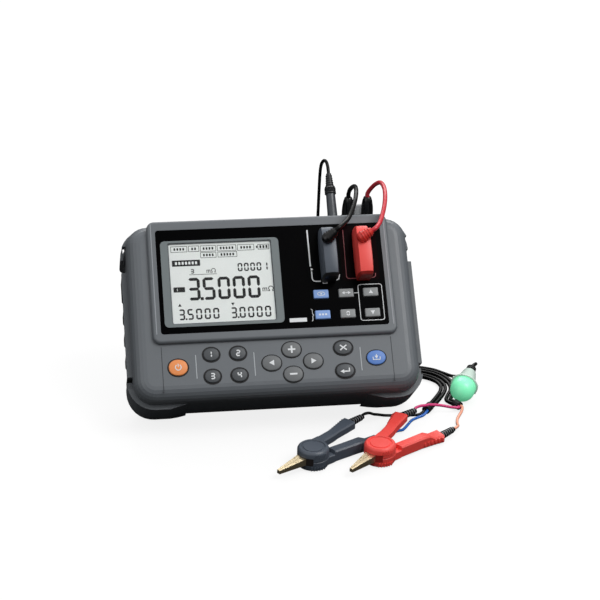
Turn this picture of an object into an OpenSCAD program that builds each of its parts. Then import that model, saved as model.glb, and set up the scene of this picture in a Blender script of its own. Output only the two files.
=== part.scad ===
// Portable resistance meter with clip leads and comparator lamp.
// It leans back on its stand, the front faces -Y and Z is up.
// Case pieces are drawn upright: x across, y into the case from the bezel, z up from the bumpers.

/* [Posture] */
// Angle that the meter leans back from upright, in degrees
lean = 42; // [34:1:48]
// Angle between the opened stand and the back, in degrees
stand_open = 72; // [62:1:78]

/* [Case] */
// Width of the case between its side rails
case_w = 185; // [176:1:200]
// Height of the case above its bottom bumpers
case_h = 117.5; // [114:0.5:126]
// Depth of the case from the bezel to the back
case_d = 53; // [50:0.5:60]
// Thickness of the case walls
wall = 2.4; // [2:0.1:3]
// Radius of the case corners seen from the front
case_corner = 14; // [12:1:18]
// Rounding of the front edge
front_edge = 9; // [6:0.5:10]
// Rounding of the rear edge
rear_edge = 10.5; // [8:0.5:12]
// Rounding of the rear edge of the bumpers
bumper_edge = 13; // [11:0.5:14]
// Depth of the joint between front cover and rear case
split_y = 16; // [14:0.5:18]
// Bumper thickness at the sides
bumper_side = 3.5; // [2.5:0.1:5]
// Bumper thickness at the bottom
bumper_low = 3; // [2:0.1:4]
// Bumper thickness at the back
bumper_back = 2; // [1.5:0.1:3]

/* [Bezel and display] */
// Width of the raised bezel
bezel_w = 158; // [154:1:164]
// Height of the raised bezel
bezel_h = 82; // [80:0.5:84]
// Height of the bezel above the lower face
bezel_raise = 3; // [2:0.1:4]
// Width of the black panel
panel_w = 147.4; // [144:0.1:150]
// Height of the black panel
panel_h = 69.8; // [69:0.1:74]
// Thickness of the panel sheet
panel_t = 1; // [0.8:0.1:1.4]
// Width of the display window
glass_w = 67.2; // [60:0.1:70]
// Height of the display window
glass_h = 54.5; // [50:0.1:56]

/* [Keys] */
// Width of a rectangular key
bar_key_w = 9.8; // [8:0.1:11]
// Height of a rectangular key
bar_key_h = 5.8; // [5:0.1:7]
// Width of the power key
power_key_w = 13; // [11:0.1:15]
// Width of the small dark keys
small_key_w = 11.2; // [10:0.1:12]
// Width of the arrow, enter and store keys
wide_key_w = 12.8; // [11:0.1:14]
// Travel of a key
key_travel = 1; // [0.8:0.1:1.2]
// Height of a key above its face
key_rise = 1.3; // [1:0.1:2]
// Gap round a key
key_gap = 0.3; // [0.2:0.05:0.45]

/* [Batteries] */
// Length of a battery
battery_l = 50.2; // [49:0.1:51]
// Diameter of a battery
battery_d = 14.2; // [13.8:0.1:14.5]

/* [Tilt stand] */
// Width of the tilt stand
stand_w = 60; // [50:1:70]
// Thickness of the tilt stand
stand_t = 3.2; // [2.6:0.1:3.4]
// Place of the stand hinge between the battery cover and the top of the case, as a share
stand_hinge_share = 0.297; // [0.2:0.01:0.36]

/* [Plugs and leads] */
// Distance between the two sockets of one colour
socket_pitch = 19; // [18:0.5:20]
// Distance between the black and the red sockets
colour_pitch = 22.7; // [21:0.1:24]
// Width of a double plug
plug_w = 10; // [8:0.5:11]
// Height of a double plug
plug_h = 35; // [32:0.5:37]
// Depth of a double plug in front of the panel
plug_d = 15.5; // [13:0.5:18]
// Diameter of a banana pin
pin_d = 4; // [3.9:0.05:4]
// Diameter of the short leads
short_d = 3; // [2.6:0.1:3.4]
// Diameter of the main cable
main_d = 5; // [4.6:0.1:5.4]
// Diameter of a strand of the twin branch cords
branch_d = 2.7; // [2.4:0.1:3]
// Diameter of the coloured wires
wire_d = 1.9; // [1.6:0.1:2.2]
// Diameter of the lamp cord
lamp_cord_d = 2.3; // [2:0.1:2.6]

/* [Clips] */
// Diameter of the clip drum
drum_d = 20; // [18:0.5:22]
// Height of the clip
clip_h = 13; // [12:0.5:15]
// Reach of the handles from the pivot
handle_l = 48; // [44:1:54]
// Reach of the jaws from the pivot
jaw_l = 29; // [24:0.2:32]
// Length of the ribbed boot at the end of a handle
clip_boot_l = 14; // [11:0.5:16]

/* [Lamp] */
// Diameter of the lamp dome
dome_d = 17; // [14:0.1:19]
// Length of the clear lamp base
lamp_base_l = 13; // [11:0.5:16]

/* [Hidden] */
$fn = 48;
hull_sides = 32;
arc_steps = 6;
// Overrun of every cut
over = 1;
// Gap between fixed pieces that sit in each other
seat = 0.1;
// Radial gap of a pivot
running = 0.06;
// Gap between halves that turn on each other
turn_gap = 0.3;
// Height cut off the bumpers and the stand where they meet the table
flat_cut = 0.3;

// Case levels
face_y = bezel_raise;
case_z0 = bumper_low;
case_z1 = case_z0 + case_h;
bumper_y1 = case_d + bumper_back;
bumper_y0 = split_y + seat;
bezel_top_rise = 0.5;
bezel_z1 = case_z1 + bezel_top_rise;
bezel_z0 = bezel_z1 - bezel_h;
bezel_corner = 5;
bezel_edge = 2;
panel_top_margin = 6.4;
panel_z1 = bezel_z1 - panel_top_margin;
panel_z0 = panel_z1 - panel_h;
panel_corner = 2;

// Battery bay and stand recess share the height of the back
contact_t = 0.8;
bay_gap = 0.4;
bay_w = 2 * battery_l + 4 * (contact_t + seat);
battery_pitch = battery_d + bay_gap;
bay_h = 4 * battery_pitch + bay_gap;
cover_tab = 6;
cover_lip = 1.5;
recess_low_share = 0.19;
bay_low_share = 0.1215;
recess_high_share = 0.3188;
bay_space = case_h - bay_h - cover_tab;
recess_z0 = case_z0 + bay_space * recess_low_share;
bay_z0 = recess_z0 + bay_space * bay_low_share;
cover_z0 = bay_z0 - cover_lip;
cover_z1 = bay_z0 + bay_h + cover_tab;
recess_z1 = cover_z1 + bay_space * recess_high_share;
stand_hinge_z = cover_z1 + (case_z1 - cover_z1) * stand_hinge_share;

// The table meets the rounding of the bumpers and the foot of the stand
lift = (bumper_y1 - bumper_edge) * sin(lean) - bumper_edge * cos(lean) + bumper_edge - flat_cut;
recess_d = 4.4;
hinge_sink = 1;
stand_hinge_y = case_d - hinge_sink - stand_t / 2;
hinge_world_y = stand_hinge_y * cos(lean) + stand_hinge_z * sin(lean);
hinge_world_z = lift - stand_hinge_y * sin(lean) + stand_hinge_z * cos(lean);
stand_tilt = stand_open - lean;
stand_l = (hinge_world_z + stand_t * sin(stand_tilt)) / cos(stand_tilt);
foot_y = hinge_world_y + hinge_world_z * tan(stand_tilt) + stand_t / 2 / cos(stand_tilt);
front_low_y = (face_y + front_edge) * cos(lean) + (case_z0 + front_edge) * sin(lean) - front_edge;
base_y = -(front_low_y + foot_y) / 2;

// Display
frame_side = 4.9;
frame_low = 2;
frame_high = 1.5;
frame_corner = 3;
glass_corner = 1;
frame_w = glass_w + 2 * frame_side;
frame_h = glass_h + frame_low + frame_high;
frame_left_margin = 2.7;
frame_low_margin = 4.4;
frame_x = -panel_w / 2 + frame_left_margin + frame_w / 2;
glass_z0 = panel_z0 + frame_low_margin + frame_low;
glass_z = glass_z0 + glass_h / 2;
frame_z = glass_z + (frame_high - frame_low) / 2;
ledge = 0.6;
ledge_t = 0.9;
skin = 0.15;
module_grow = 2.4;
module_t = 5;

// Inner layers
key_flange = 1.1;
key_flange_t = 1.2;
key_flange_trim = 0.6;
wall_back_y = face_y + wall;
flange_y = wall_back_y + seat * 2;
mat_y = flange_y + key_flange_t + key_travel + turn_gap;
mat_t = 1.4;
board_y = mat_y + mat_t + seat;
board_t = 1.6;
board_side = 13.5;
board_w = case_w - 2 * board_side;
board_end = 8.5;
board_h = case_h - 2 * board_end;
mat_side = 15;
mat_low = 7.2;
board_z = case_z0 + case_h / 2;
part_t = 6;

// Keys on the panel: column from the panel centre and height above its lower edge, as shares
bar_names = ["key_view", "key_mode", "key_auto", "key_zero", "key_range_up", "key_range_down"];
bar_column_shares = [0.2085, 0.2085, 0.32, 0.32, 0.4295, 0.4295];
bar_row_shares = [0.317, 0.118, 0.317, 0.118, 0.317, 0.118];
bar_flat_corner = 0.6;
// Oval keys: column from the case centre as a share of its width, row and height of the lower face
oval_names = ["key_power", "key_compare", "key_panel", "key_temperature", "key_average", "key_left",
    "key_plus", "key_minus", "key_right", "key_escape", "key_enter", "key_store"];
oval_column_shares = [-0.3464, -0.2305, -0.138, -0.2305, -0.138, -0.024,
    0.048, 0.048, 0.1208, 0.229, 0.229, 0.3424];
oval_row_shares = [0.568, 0.776, 0.776, 0.378, 0.378, 0.568,
    0.796, 0.346, 0.568, 0.784, 0.362, 0.575];
oval_height_shares = [0.3178, 0.2694, 0.2694, 0.2694, 0.2694, 0.2951,
    0.2951, 0.2951, 0.2951, 0.2809, 0.2809, 0.2809];
oval_widths = [power_key_w, small_key_w, small_key_w, small_key_w, small_key_w, wide_key_w,
    wide_key_w, wide_key_w, wide_key_w, wide_key_w, wide_key_w, wide_key_w];
face_low = case_z0;
face_h = bezel_z0 - face_low;
oval_gap = key_gap * 1.5;

// Sockets and plugs
socket_side = 36.9;
socket_drop = 22.2;
socket_x = panel_w / 2 - socket_side;
socket_z = panel_z1 - socket_drop;
socket_r = 4.4;
tube_r = 3.2;
tube_l = 23;
pin_l = 19;
plug_gap = 0.05;
plug_corner = 4;
plug_edge = 2.5;
// Ways that the boots point: down from the case axis, and round it
black_boot_way = [0, 56, -25];
red_boot_way = [0, 62.5, -16.4];
boot_sink = 2;
boot_side = 1.3;
boot_r = 3.9;
boot_tip_r = 2.3;
boot_l = 7.9;
rib_t = 0.9;
plug_boot_drop = 10.4;

// Top sockets, lamp plug and USB cover
jack_x = 48;
jack_y = 27;
jack_r = 5;
jack_bore_r = 1.8;
jack_l = 16;
lamp_pin_r = 1.7;
lamp_pin_l = 13;
lamp_plug_r0 = 3.7;
lamp_plug_r1 = 3.1;
lamp_plug_l = 25;
collar_r = 3.9;
collar_l = 5.3;
relief_r = 2.5;
relief_l = 9.8;
usb_x = -20;
usb_y = 30;
usb_w = 9;
usb_h = 4;
usb_depth = 8;
flap_w = 17;
flap_d = 10;
flap_t = 1.1;

// Back
recess_side = 7;
recess_w = bay_w + 2 * recess_side;
recess_corner = 4;
bay_wall = 1.6;
cover_t = 1.6;
recess_y = case_d - recess_d;
bay_y1 = recess_y - cover_t;
bay_y0 = bay_y1 - battery_d - bay_gap;
screw_r = 1.5;
screw_head_r = 2.8;
screw_head_t = 2;
screw_sink = 15;
boss_r = 4;
boss_side_inset = 9;
boss_low_inset = 12;
screw_tip_y = wall_back_y + wall;
cover_screw_l = 8;
ear_t = 4.4;
ear_w = 9;
trunnion_r = 1.6;
trunnion_l = 3.8;

// Side rails, strap slots and grips
rail_t = 5;
rail_z0 = case_z0 + case_h * 0.1617;
rail_z1 = case_z0 + case_h * 0.7575;
grip_d = 20;
grip_t = bumper_side - turn_gap;
wave_pitch = 15;
wave_r = 10;
wave_cut = 1.5;
slot_front_inset = 10.5;
slot_rear_inset = 18;
slot_low_inset = 11.5;
slot_low_rear_inset = 17;
slot_front_z = case_z1 - slot_front_inset;
slot_rear_z = case_z1 - slot_rear_inset;
slot_low_z = case_z0 + slot_low_inset;
slot_low_rear_z = case_z0 + slot_low_rear_inset;
bumper_reach = 6.5;
strap_y0 = 22;
strap_y1 = 38;
strap_gap = 1.6;
strap_end = 5;
ramp_x = 58;
ramp_l = 16;

// Places on the table
junction_x = 68;
junction_y = 47.5;
junction_w = 24;
junction_d = 9;
junction_z0 = 76;
junction_z1 = 103;
junction_edge = 3;
junction_boot_x = 6.6;
junction_boot_l = 13.5;
junction_boot_r = 4.2;
junction_boot_tip_r = 2.6;
junction_tab_r = 1.6;
junction_tab_h = 6;
second_x = 62;
second_y = 7.5;
second_l = 20;
second_w = 14;
second_h = 8;
second_edge = 2;
// Gap between the strands of a twin cord
strand_gap = 0.2;
sleeve_r = branch_d + strand_gap;
black_sleeve_l = 7;
red_sleeve_l = 5;
black_clip_at = [15.4, -106.5, 0];
black_clip_turn = 34;
red_clip_at = [57.7, -106.6, 0];
red_clip_turn = 41.5;
// Angle by which the handles of the black clip stand closer than those of the red one
black_closer = 5;
lamp_at = [130.5, -30.8, 0];
lamp_turn = 241.7;
// The lamp rests on its dome and its flange, with the cord end up
lamp_tilt = 12;
lamp_axis_z = dome_d * 0.559;

// Routes of the cords, each from its exit to its far end
black_lead_route = [[41.4, -19.1, 120.6], [43.4, -18.8, 122.3], [47, -14.6, 123.2], [51.5, -8, 124.3],
    [55.7, 1, 127.3], [58.9, 10, 130], [61.2, 20, 131.7], [62.4, 30, 130.9], [62.3, 38.6, 127.4],
    [61.7, 44.6, 123], [61.4, 47.5, 119], [61.4, 47.5, 116.3]];
red_lead_route = [[64.9, -19, 119.4], [67.4, -18.6, 120.9], [70.8, -13, 121.7], [73.9, -6, 124],
    [77.3, 4, 127.4], [79.6, 14, 130.5], [80.7, 24, 132.2], [80.1, 33, 132], [78.3, 40.5, 128],
    [76.2, 45.6, 122.8], [74.6, 47.5, 118.8], [74.6, 47.5, 116.3]];
main_down_route = [[68, 47.5, 76], [68, 47.5, 70], [68, 48.5, 59], [68, 50.5, 47], [68, 53.5, 35],
    [68.6, 57.5, 23.5], [71, 63, 12.5], [76, 69.5, 5], [84, 75.5, 2.5], [93, 81, 2.5],
    [101, 87.5, 2.5], [106.5, 95.5, 2.5], [108.5, 104.5, 2.5], [108.5, 112, 2.5]];
main_back_route = [[41.5, 112, 8], [41.5, 106, 7.6], [40.8, 98, 6], [41, 89, 4], [42.4, 80, 2.8],
    [44.4, 70, 2.5], [46, 60, 2.5], [46.6, 49, 2.5], [46.4, 38, 2.5], [46, 28, 2.5], [47, 19, 2.6],
    [50.6, 12.2, 3.2], [56, 8.4, 3.8], [62, 7.5, 4]];
black_branch_route = [[82, 4.5, 4], [86, 4.5, 3], [92, 4.2, 1.8], [97.4, 3.4, 1.5], [102.6, 2.1, 1.5],
    [108.4, -0.4, 1.5], [113.8, -4.4, 1.5], [117.8, -9.8, 1.5], [119.2, -15.4, 1.5],
    [118.6, -20.4, 1.5], [116.4, -25.8, 1.5], [112.4, -32.6, 1.6], [107.4, -40.6, 2.2],
    [103.8, -45.6, 3]];
red_branch_route = [[82, 10.5, 4], [86, 10.5, 3], [92, 10.4, 1.8], [98, 10.2, 1.5], [104.2, 9, 1.5],
    [110.8, 6.6, 1.5], [116.8, 2.8, 1.5], [121.4, -2.4, 1.5], [124.6, -9.4, 1.5], [125.6, -16.6, 1.5],
    [124.4, -23.4, 1.5], [121.2, -29.8, 1.5], [118.6, -35.6, 1.6], [119, -39.8, 2.2],
    [121, -43.8, 3]];
black_wire_route = [[98.9, -50.7, 3], [97.8, -52.3, 2.6], [94.8, -53.6, 1.4], [90, -53.4, 1],
    [84, -52.6, 1], [78, -52.4, 1], [72, -52.8, 1.6], [66.4, -54.9, 3.7], [62.8, -59.1, 6.5],
    [59.4, -61.1, 8.7], [55.9, -63.4, 9.5], [53.8, -65.6, 9.5]];
blue_wire_route = [[100.5, -51.9, 3], [99.4, -53.6, 2.6], [96.8, -55.6, 1.6], [92.6, -57.2, 1],
    [88.4, -60.2, 1], [85, -65, 1], [82, -69.4, 1], [79.4, -73, 1.5], [76.6, -75.6, 2.7],
    [73.2, -78.1, 3.3], [70.6, -80.1, 3.3]];
pink_wire_route = [[122.3, -48.7, 3], [122.3, -49.9, 3], [120.2, -50.6, 3.3], [115.8, -50.2, 3.9],
    [111.2, -50, 5], [106.6, -50.8, 6.2], [101.8, -52.2, 7.4], [97.6, -54.6, 8.4],
    [94.6, -56.2, 9.1], [91.2, -58.7, 9.5], [89.5, -61.2, 9.5]];
salmon_wire_route = [[124.1, -47.8, 3], [124.8, -49.4, 2.6], [123.6, -52.6, 1.4], [121.4, -56.4, 1],
    [118.8, -61.4, 1], [117.2, -66.8, 1.1], [116.4, -72.4, 2.1], [114.4, -76.4, 3.3],
    [112.2, -78.4, 3.3]];
lamp_down_route = [[48, 52.5, 132.4], [48, 54.6, 134.7], [47.7, 56.4, 137.2], [47, 58.5, 138.9],
    [46, 60.7, 138.6], [45, 62.5, 136.2], [44.4, 63.6, 132.4], [44.1, 64.1, 126], [43.9, 64.3, 116],
    [43.7, 64.4, 103], [43.5, 64.4, 89], [43.2, 64.5, 75], [42.8, 64.7, 61], [42.2, 65.2, 47],
    [41.2, 66.4, 34], [39.6, 68.8, 22], [37.2, 72.8, 11.6], [34.2, 78, 5], [31.4, 84, 1.8],
    [29, 91, 1.2], [28.1, 97.7, 1.2]];
lamp_back_route = [[-8.1, 97.7, 9.4], [-8.1, 92, 8.8], [-7.2, 86, 6.8], [-4.6, 80.6, 4.4],
    [0, 76.8, 2.4], [6.6, 75.2, 1.3], [14, 75, 1.2], [22, 74.6, 1.2], [29, 72.4, 1.2], [34, 67.6, 1.2],
    [36.4, 61, 1.2], [37.2, 53.4, 1.6], [39.6, 47.2, 3.8], [43.2, 43, 6.1], [47.6, 39.8, 6.8],
    [52, 36.6, 5], [56, 32.4, 2.4], [60, 27.6, 1.3], [66, 22.8, 1.2], [74, 19.4, 1.2], [83, 17.4, 1.2],
    [93, 16.2, 1.2], [102.4, 14.8, 1.2], [110.8, 12.2, 1.2], [118.6, 8, 1.2], [124.6, 2, 1.2],
    [129.6, -2.6, 1.2], [134.6, -4.6, 2.4], [139.2, -4.4, 5.4], [142.6, -5.2, 9.2], [143.8, -7.6, 12.4],
    [142.6, -10.4, 13.8], [140.4, -12.7, 13.8], [139.1, -15, 13.3]];

// Coils: an unbroken tube that spirals in and out in layers
coil_air = 0.45;
main_coil_at = [75, 117, 0];
main_coil_r = 33.5;
main_coil_loops = 2.5;
main_coil_layers = 2;
lamp_coil_at = [10, 100, 0];
lamp_coil_r = 18.1;
lamp_coil_loops = 12.5;
lamp_coil_layers = 4;
rings_per_loop = 24;

// Small helpers
function unit(v) = v / norm(v);
function arc(cx, cy, r, a0, a1) =
    [for (i = [0 : arc_steps]) let (a = a0 + (a1 - a0) * i / arc_steps) [cx + r * cos(a), cy + r * sin(a)]];
function way(p, i) =
    i == 0 ? unit(p[1] - p[0]) :
    i == len(p) - 1 ? unit(p[i] - p[i - 1]) :
    unit(unit(p[i + 1] - p[i]) + unit(p[i] - p[i - 1]));
function level(v) = unit([v[0], v[1], 0]);
// Route that runs beside another one at the same height
function beside(p, gap) = [for (i = [0 : len(p) - 1]) p[i] + gap * cross([0, 0, 1], level(way(p, i)))];
function square_to(n, t) = unit(n - (n * t) * t);
function first_side(t) = abs(t[2]) < 0.9 ? square_to([0, 0, 1], t) : square_to([1, 0, 0], t);
function route_length(p) =
    [for (i = 1, s = norm(p[1] - p[0]); i < len(p); i = i + 1,
        s = s + (i < len(p) ? norm(p[i] - p[i - 1]) : 0)) s][len(p) - 2];

module sweep(p, d, sides) {
    last = len(p) - 1;
    side = [for (i = 0, n = first_side(way(p, 0)); i <= last; i = i + 1,
        n = i <= last ? square_to(n, way(p, i)) : n) n];
    rings = [for (i = [0 : last]) let (t = way(p, i), u = side[i], v = cross(t, u))
        for (k = [0 : sides - 1]) p[i] + d / 2 * (u * cos(360 * k / sides) + v * sin(360 * k / sides))];
    walls = [for (i = [0 : last - 1]) for (k = [0 : sides - 1])
        let (a = i * sides + k, b = i * sides + (k + 1) % sides)
        for (f = [[a, b, b + sides], [a, b + sides, a + sides]]) f];
    caps = concat([for (k = [1 : sides - 2]) [0, k + 1, k]],
        [for (k = [1 : sides - 2]) [last * sides, last * sides + k, last * sides + k + 1]]);
    polyhedron(points = rings, faces = [for (f = concat(walls, caps)) [f[0], f[2], f[1]]]);
}

// Height share of a climb in the half turn where the spiral reverses
function ease(x) = x <= 0 ? 0 : x >= 1 ? 1 : x;
function coil_point(t, at, r, d, loops, layers) =
    let (per = loops / layers, pitch = d + coil_air, layer = min(layers - 1, floor(t / per)),
        f = t / per - layer,
        radius = layer % 2 == 0 ? r - pitch * per * f : r - pitch * per * (1 - f),
        climbs = [for (m = [1 : layers - 1]) ease((t - m * per) * 2 + 0.5)],
        level = [for (m = 0, s = 0; m < layers; m = m + 1, s = m < layers ? s + climbs[m - 1] : s) s])
    at + [radius * cos(360 * t), radius * sin(360 * t), d / 2 + pitch * level[layers - 1]];
// Starts towards +Y at the right of the coil and ends a half turn past a whole number of loops
function coil_route(at, r, d, loops, layers) =
    let (p = [for (i = [0 : loops * rings_per_loop])
            coil_point(i / rings_per_loop, at, r, d, loops, layers)])
    concat([p[0] - [0, d, 0]], p, [p[len(p) - 1] - [0, d, 0]]);
function least_gap(p, d) =
    min([for (i = [0 : len(p) - 1]) for (k = [i + 8 : 1 : len(p) - 1]) norm(p[i] - p[k])]) - d;

main_coil_route = coil_route(main_coil_at, main_coil_r, main_d, main_coil_loops, main_coil_layers);
lamp_coil_route = coil_route(lamp_coil_at, lamp_coil_r, lamp_cord_d, lamp_coil_loops,
    lamp_coil_layers);
echo(main_coil_gap = least_gap(main_coil_route, main_d), lamp_coil_gap =
    least_gap(lamp_coil_route, lamp_cord_d));
echo(main_start = main_coil_route[0], main_end = main_coil_route[len(main_coil_route) - 1]);
echo(lamp_start = lamp_coil_route[0], lamp_end = lamp_coil_route[len(lamp_coil_route) - 1]);
echo(short_black = route_length(black_lead_route), short_red = route_length(red_lead_route));
echo(main = route_length(main_down_route) + route_length(main_coil_route) +
    route_length(main_back_route));
echo(black_branch = route_length(black_branch_route), red_branch = route_length(red_branch_route));
echo(lamp = route_length(lamp_down_route) + route_length(lamp_coil_route) +
    route_length(lamp_back_route));
echo(base_y = base_y, lift = lift, foot_y = foot_y, stand_l = stand_l);

// Rounded rectangle in the drawing plane
module round_rect(w, h, r) {
    square([w - 2 * r, h], center = true);
    square([w, h - 2 * r], center = true);
    for (x = [-1, 1], y = [-1, 1]) translate([x * (w / 2 - r), y * (h / 2 - r)]) circle(r);
}
// Sheet with a rounded outline, seen from the front, from depth y0 to y1
module sheet(x, z, w, h, r, y0, y1) {
    translate([x, y1, z]) rotate([90, 0, 0]) linear_extrude(y1 - y0) round_rect(w, h, r);
}
// Corner post of a rounded box, along the depth
module corner_post(r, y0, y1, edge0, edge1) {
    rotate([-90, 0, 0]) rotate_extrude($fn = hull_sides) polygon(concat([[0, y0]],
        arc(r - edge0, y0 + edge0, edge0, -90, 0), arc(r - edge1, y1 - edge1, edge1, 0, 90),
        [[0, y1]]));
}
// Box with rounded corners and rounded front and rear edges
module soft_box(w, z0, z1, y0, y1, r, edge0, edge1) {
    hull() for (x = [-1, 1], z = [z0 + r, z1 - r])
        translate([x * (w / 2 - r), 0, z]) corner_post(r, y0, y1, edge0, edge1);
}
// Ring of ribs round a tapered boot that stands along z
module boot(r0, r1, l, count) {
    cylinder(r1 = r0, r2 = r1, h = l);
    for (i = [1 : count]) let (z = l * i / (count + 1))
        translate([0, 0, z]) cylinder(r = r0 + (r1 - r0) * i / (count + 1) + rib_t / 2, h = rib_t);
}
// The upright case leans back about its lower front edge and stands on the table
module on_meter() {
    translate([0, base_y, lift]) rotate([-lean, 0, 0]) children();
}
module below_table() {
    big = case_w * 2;
    translate([-big / 2, -big / 2, -big]) cube(big);
}

module case_outer() {
    soft_box(case_w, case_z0, case_z1, face_y, case_d, case_corner, front_edge, rear_edge);
}
module case_inner() {
    soft_box(case_w - 2 * wall, case_z0 + wall, case_z1 - wall, wall_back_y, case_d - wall,
        case_corner - wall, front_edge - wall, rear_edge - wall);
}
module before(y) {
    translate([-case_w, y - case_w, -case_w / 2]) cube([2 * case_w, case_w, 2 * case_w]);
}
module behind(y) {
    translate([-case_w, y, -case_w / 2]) cube([2 * case_w, case_w, 2 * case_w]);
}
// Places of the four case screws
module at_bosses() {
    for (x = [-1, 1], z = [case_z0 + boss_low_inset, case_z1 - boss_low_inset])
        translate([x * (case_w / 2 - boss_side_inset), 0, z]) rotate([-90, 0, 0]) children();
}
function bar_x(i) = panel_w * bar_column_shares[i];
function bar_z(i) = panel_z0 + panel_h * bar_row_shares[i];
function oval_x(i) = case_w * oval_column_shares[i];
function oval_z(i) = face_low + face_h * oval_row_shares[i];
function oval_h(i) = face_h * oval_height_shares[i];
module bar_outline(grow) {
    round_rect(bar_key_w + 2 * grow, bar_key_h + 2 * grow, bar_flat_corner + grow);
}
module oval_outline(i, grow) {
    w = oval_widths[i] + 2 * grow;
    h = oval_h(i) + 2 * grow;
    resize([w, h]) circle(w / 2, $fn = 40);
}
// Column of an outline from depth y0 to y1
module key_column(x, z, y0, y1) {
    translate([x, y1, z]) rotate([90, 0, 0]) linear_extrude(y1 - y0) children();
}
module at_sockets(r, y0, y1) {
    for (x = [0, 1], z = [-1, 1])
        translate([socket_x + x * colour_pitch, y0, socket_z + z * socket_pitch / 2])
            rotate([-90, 0, 0]) cylinder(r = r, h = y1 - y0);
}

module front_cover() {
    color([0.38, 0.40, 0.42]) on_meter() difference() {
        union() {
            difference() {
                union() {
                    difference() {
                        case_outer();
                        behind(split_y);
                    }
                    soft_box(bezel_w, bezel_z0, bezel_z1, 0, split_y, bezel_corner, bezel_edge, seat);
                }
                case_inner();
            }
            at_bosses() translate([0, 0, wall_back_y - seat])
                cylinder(r = boss_r, h = split_y - wall_back_y + seat);
        }
        sheet(0, (panel_z0 + panel_z1) / 2, panel_w, panel_h, panel_corner, -over, panel_t);
        sheet(frame_x, glass_z, glass_w - 2 * ledge, glass_h - 2 * ledge, glass_corner, -over,
            wall_back_y + over);
        sheet(frame_x, glass_z, glass_w + module_grow + 2 * seat, glass_h + module_grow + 2 * seat,
            glass_corner, panel_t + ledge_t, wall_back_y + over);
        for (i = [0 : len(bar_names) - 1])
            key_column(bar_x(i), bar_z(i), -over, wall_back_y + over) bar_outline(key_gap);
        for (i = [0 : len(oval_names) - 1])
            key_column(oval_x(i), oval_z(i), -over, wall_back_y + over) oval_outline(i, oval_gap);
        at_sockets(socket_r + seat, -over, wall_back_y + over);
        at_bosses() translate([0, 0, screw_tip_y]) cylinder(r = screw_r + seat / 4, h = split_y);
    }
}

// Space between the outside of the bumpers and the case
module bumper_shell() {
    difference() {
        soft_box(case_w + 2 * bumper_side, case_z0 - bumper_low, bezel_z1, bumper_y0, bumper_y1,
            case_corner + bumper_side, seat, bumper_edge);
        case_outer();
    }
}
module bumper_zone() {
    side = case_w / 2 - bumper_reach;
    big = case_w;
    for (s = [0, 1]) mirror([s, 0, 0]) {
        translate([bezel_w / 2 + seat, -over, slot_front_z]) cube([big, big, big]);
        translate([side, strap_y0 + seat, slot_rear_z]) cube([big, big, big]);
        translate([0, big, 0]) rotate([90, 0, 0]) linear_extrude(big) polygon([
            [ramp_x, case_z0 + seat], [ramp_x + ramp_l, -over], [big, -over],
            [big, slot_low_z], [side, slot_low_z]]);
        translate([side, strap_y0 + seat, -over]) cube([big, big, slot_low_rear_z + over]);
    }
}
module battery_bay(grow, y0, y1) {
    translate([-bay_w / 2 - grow, y0, bay_z0 - grow]) cube([bay_w + 2 * grow, y1 - y0, bay_h + 2 * grow]);
}
module cover_sheet(shrink, y0, y1) {
    sheet(0, (cover_z0 + cover_z1) / 2, bay_w + 2 * cover_lip - 2 * shrink,
        cover_z1 - cover_z0 - 2 * shrink, cover_lip, y0, y1);
}
module at_cover_screws() {
    for (x = [-1, 1]) translate([x * (bay_w / 2 - cover_tab), 0, cover_z1 - cover_tab / 2])
        rotate([-90, 0, 0]) children();
}
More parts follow.
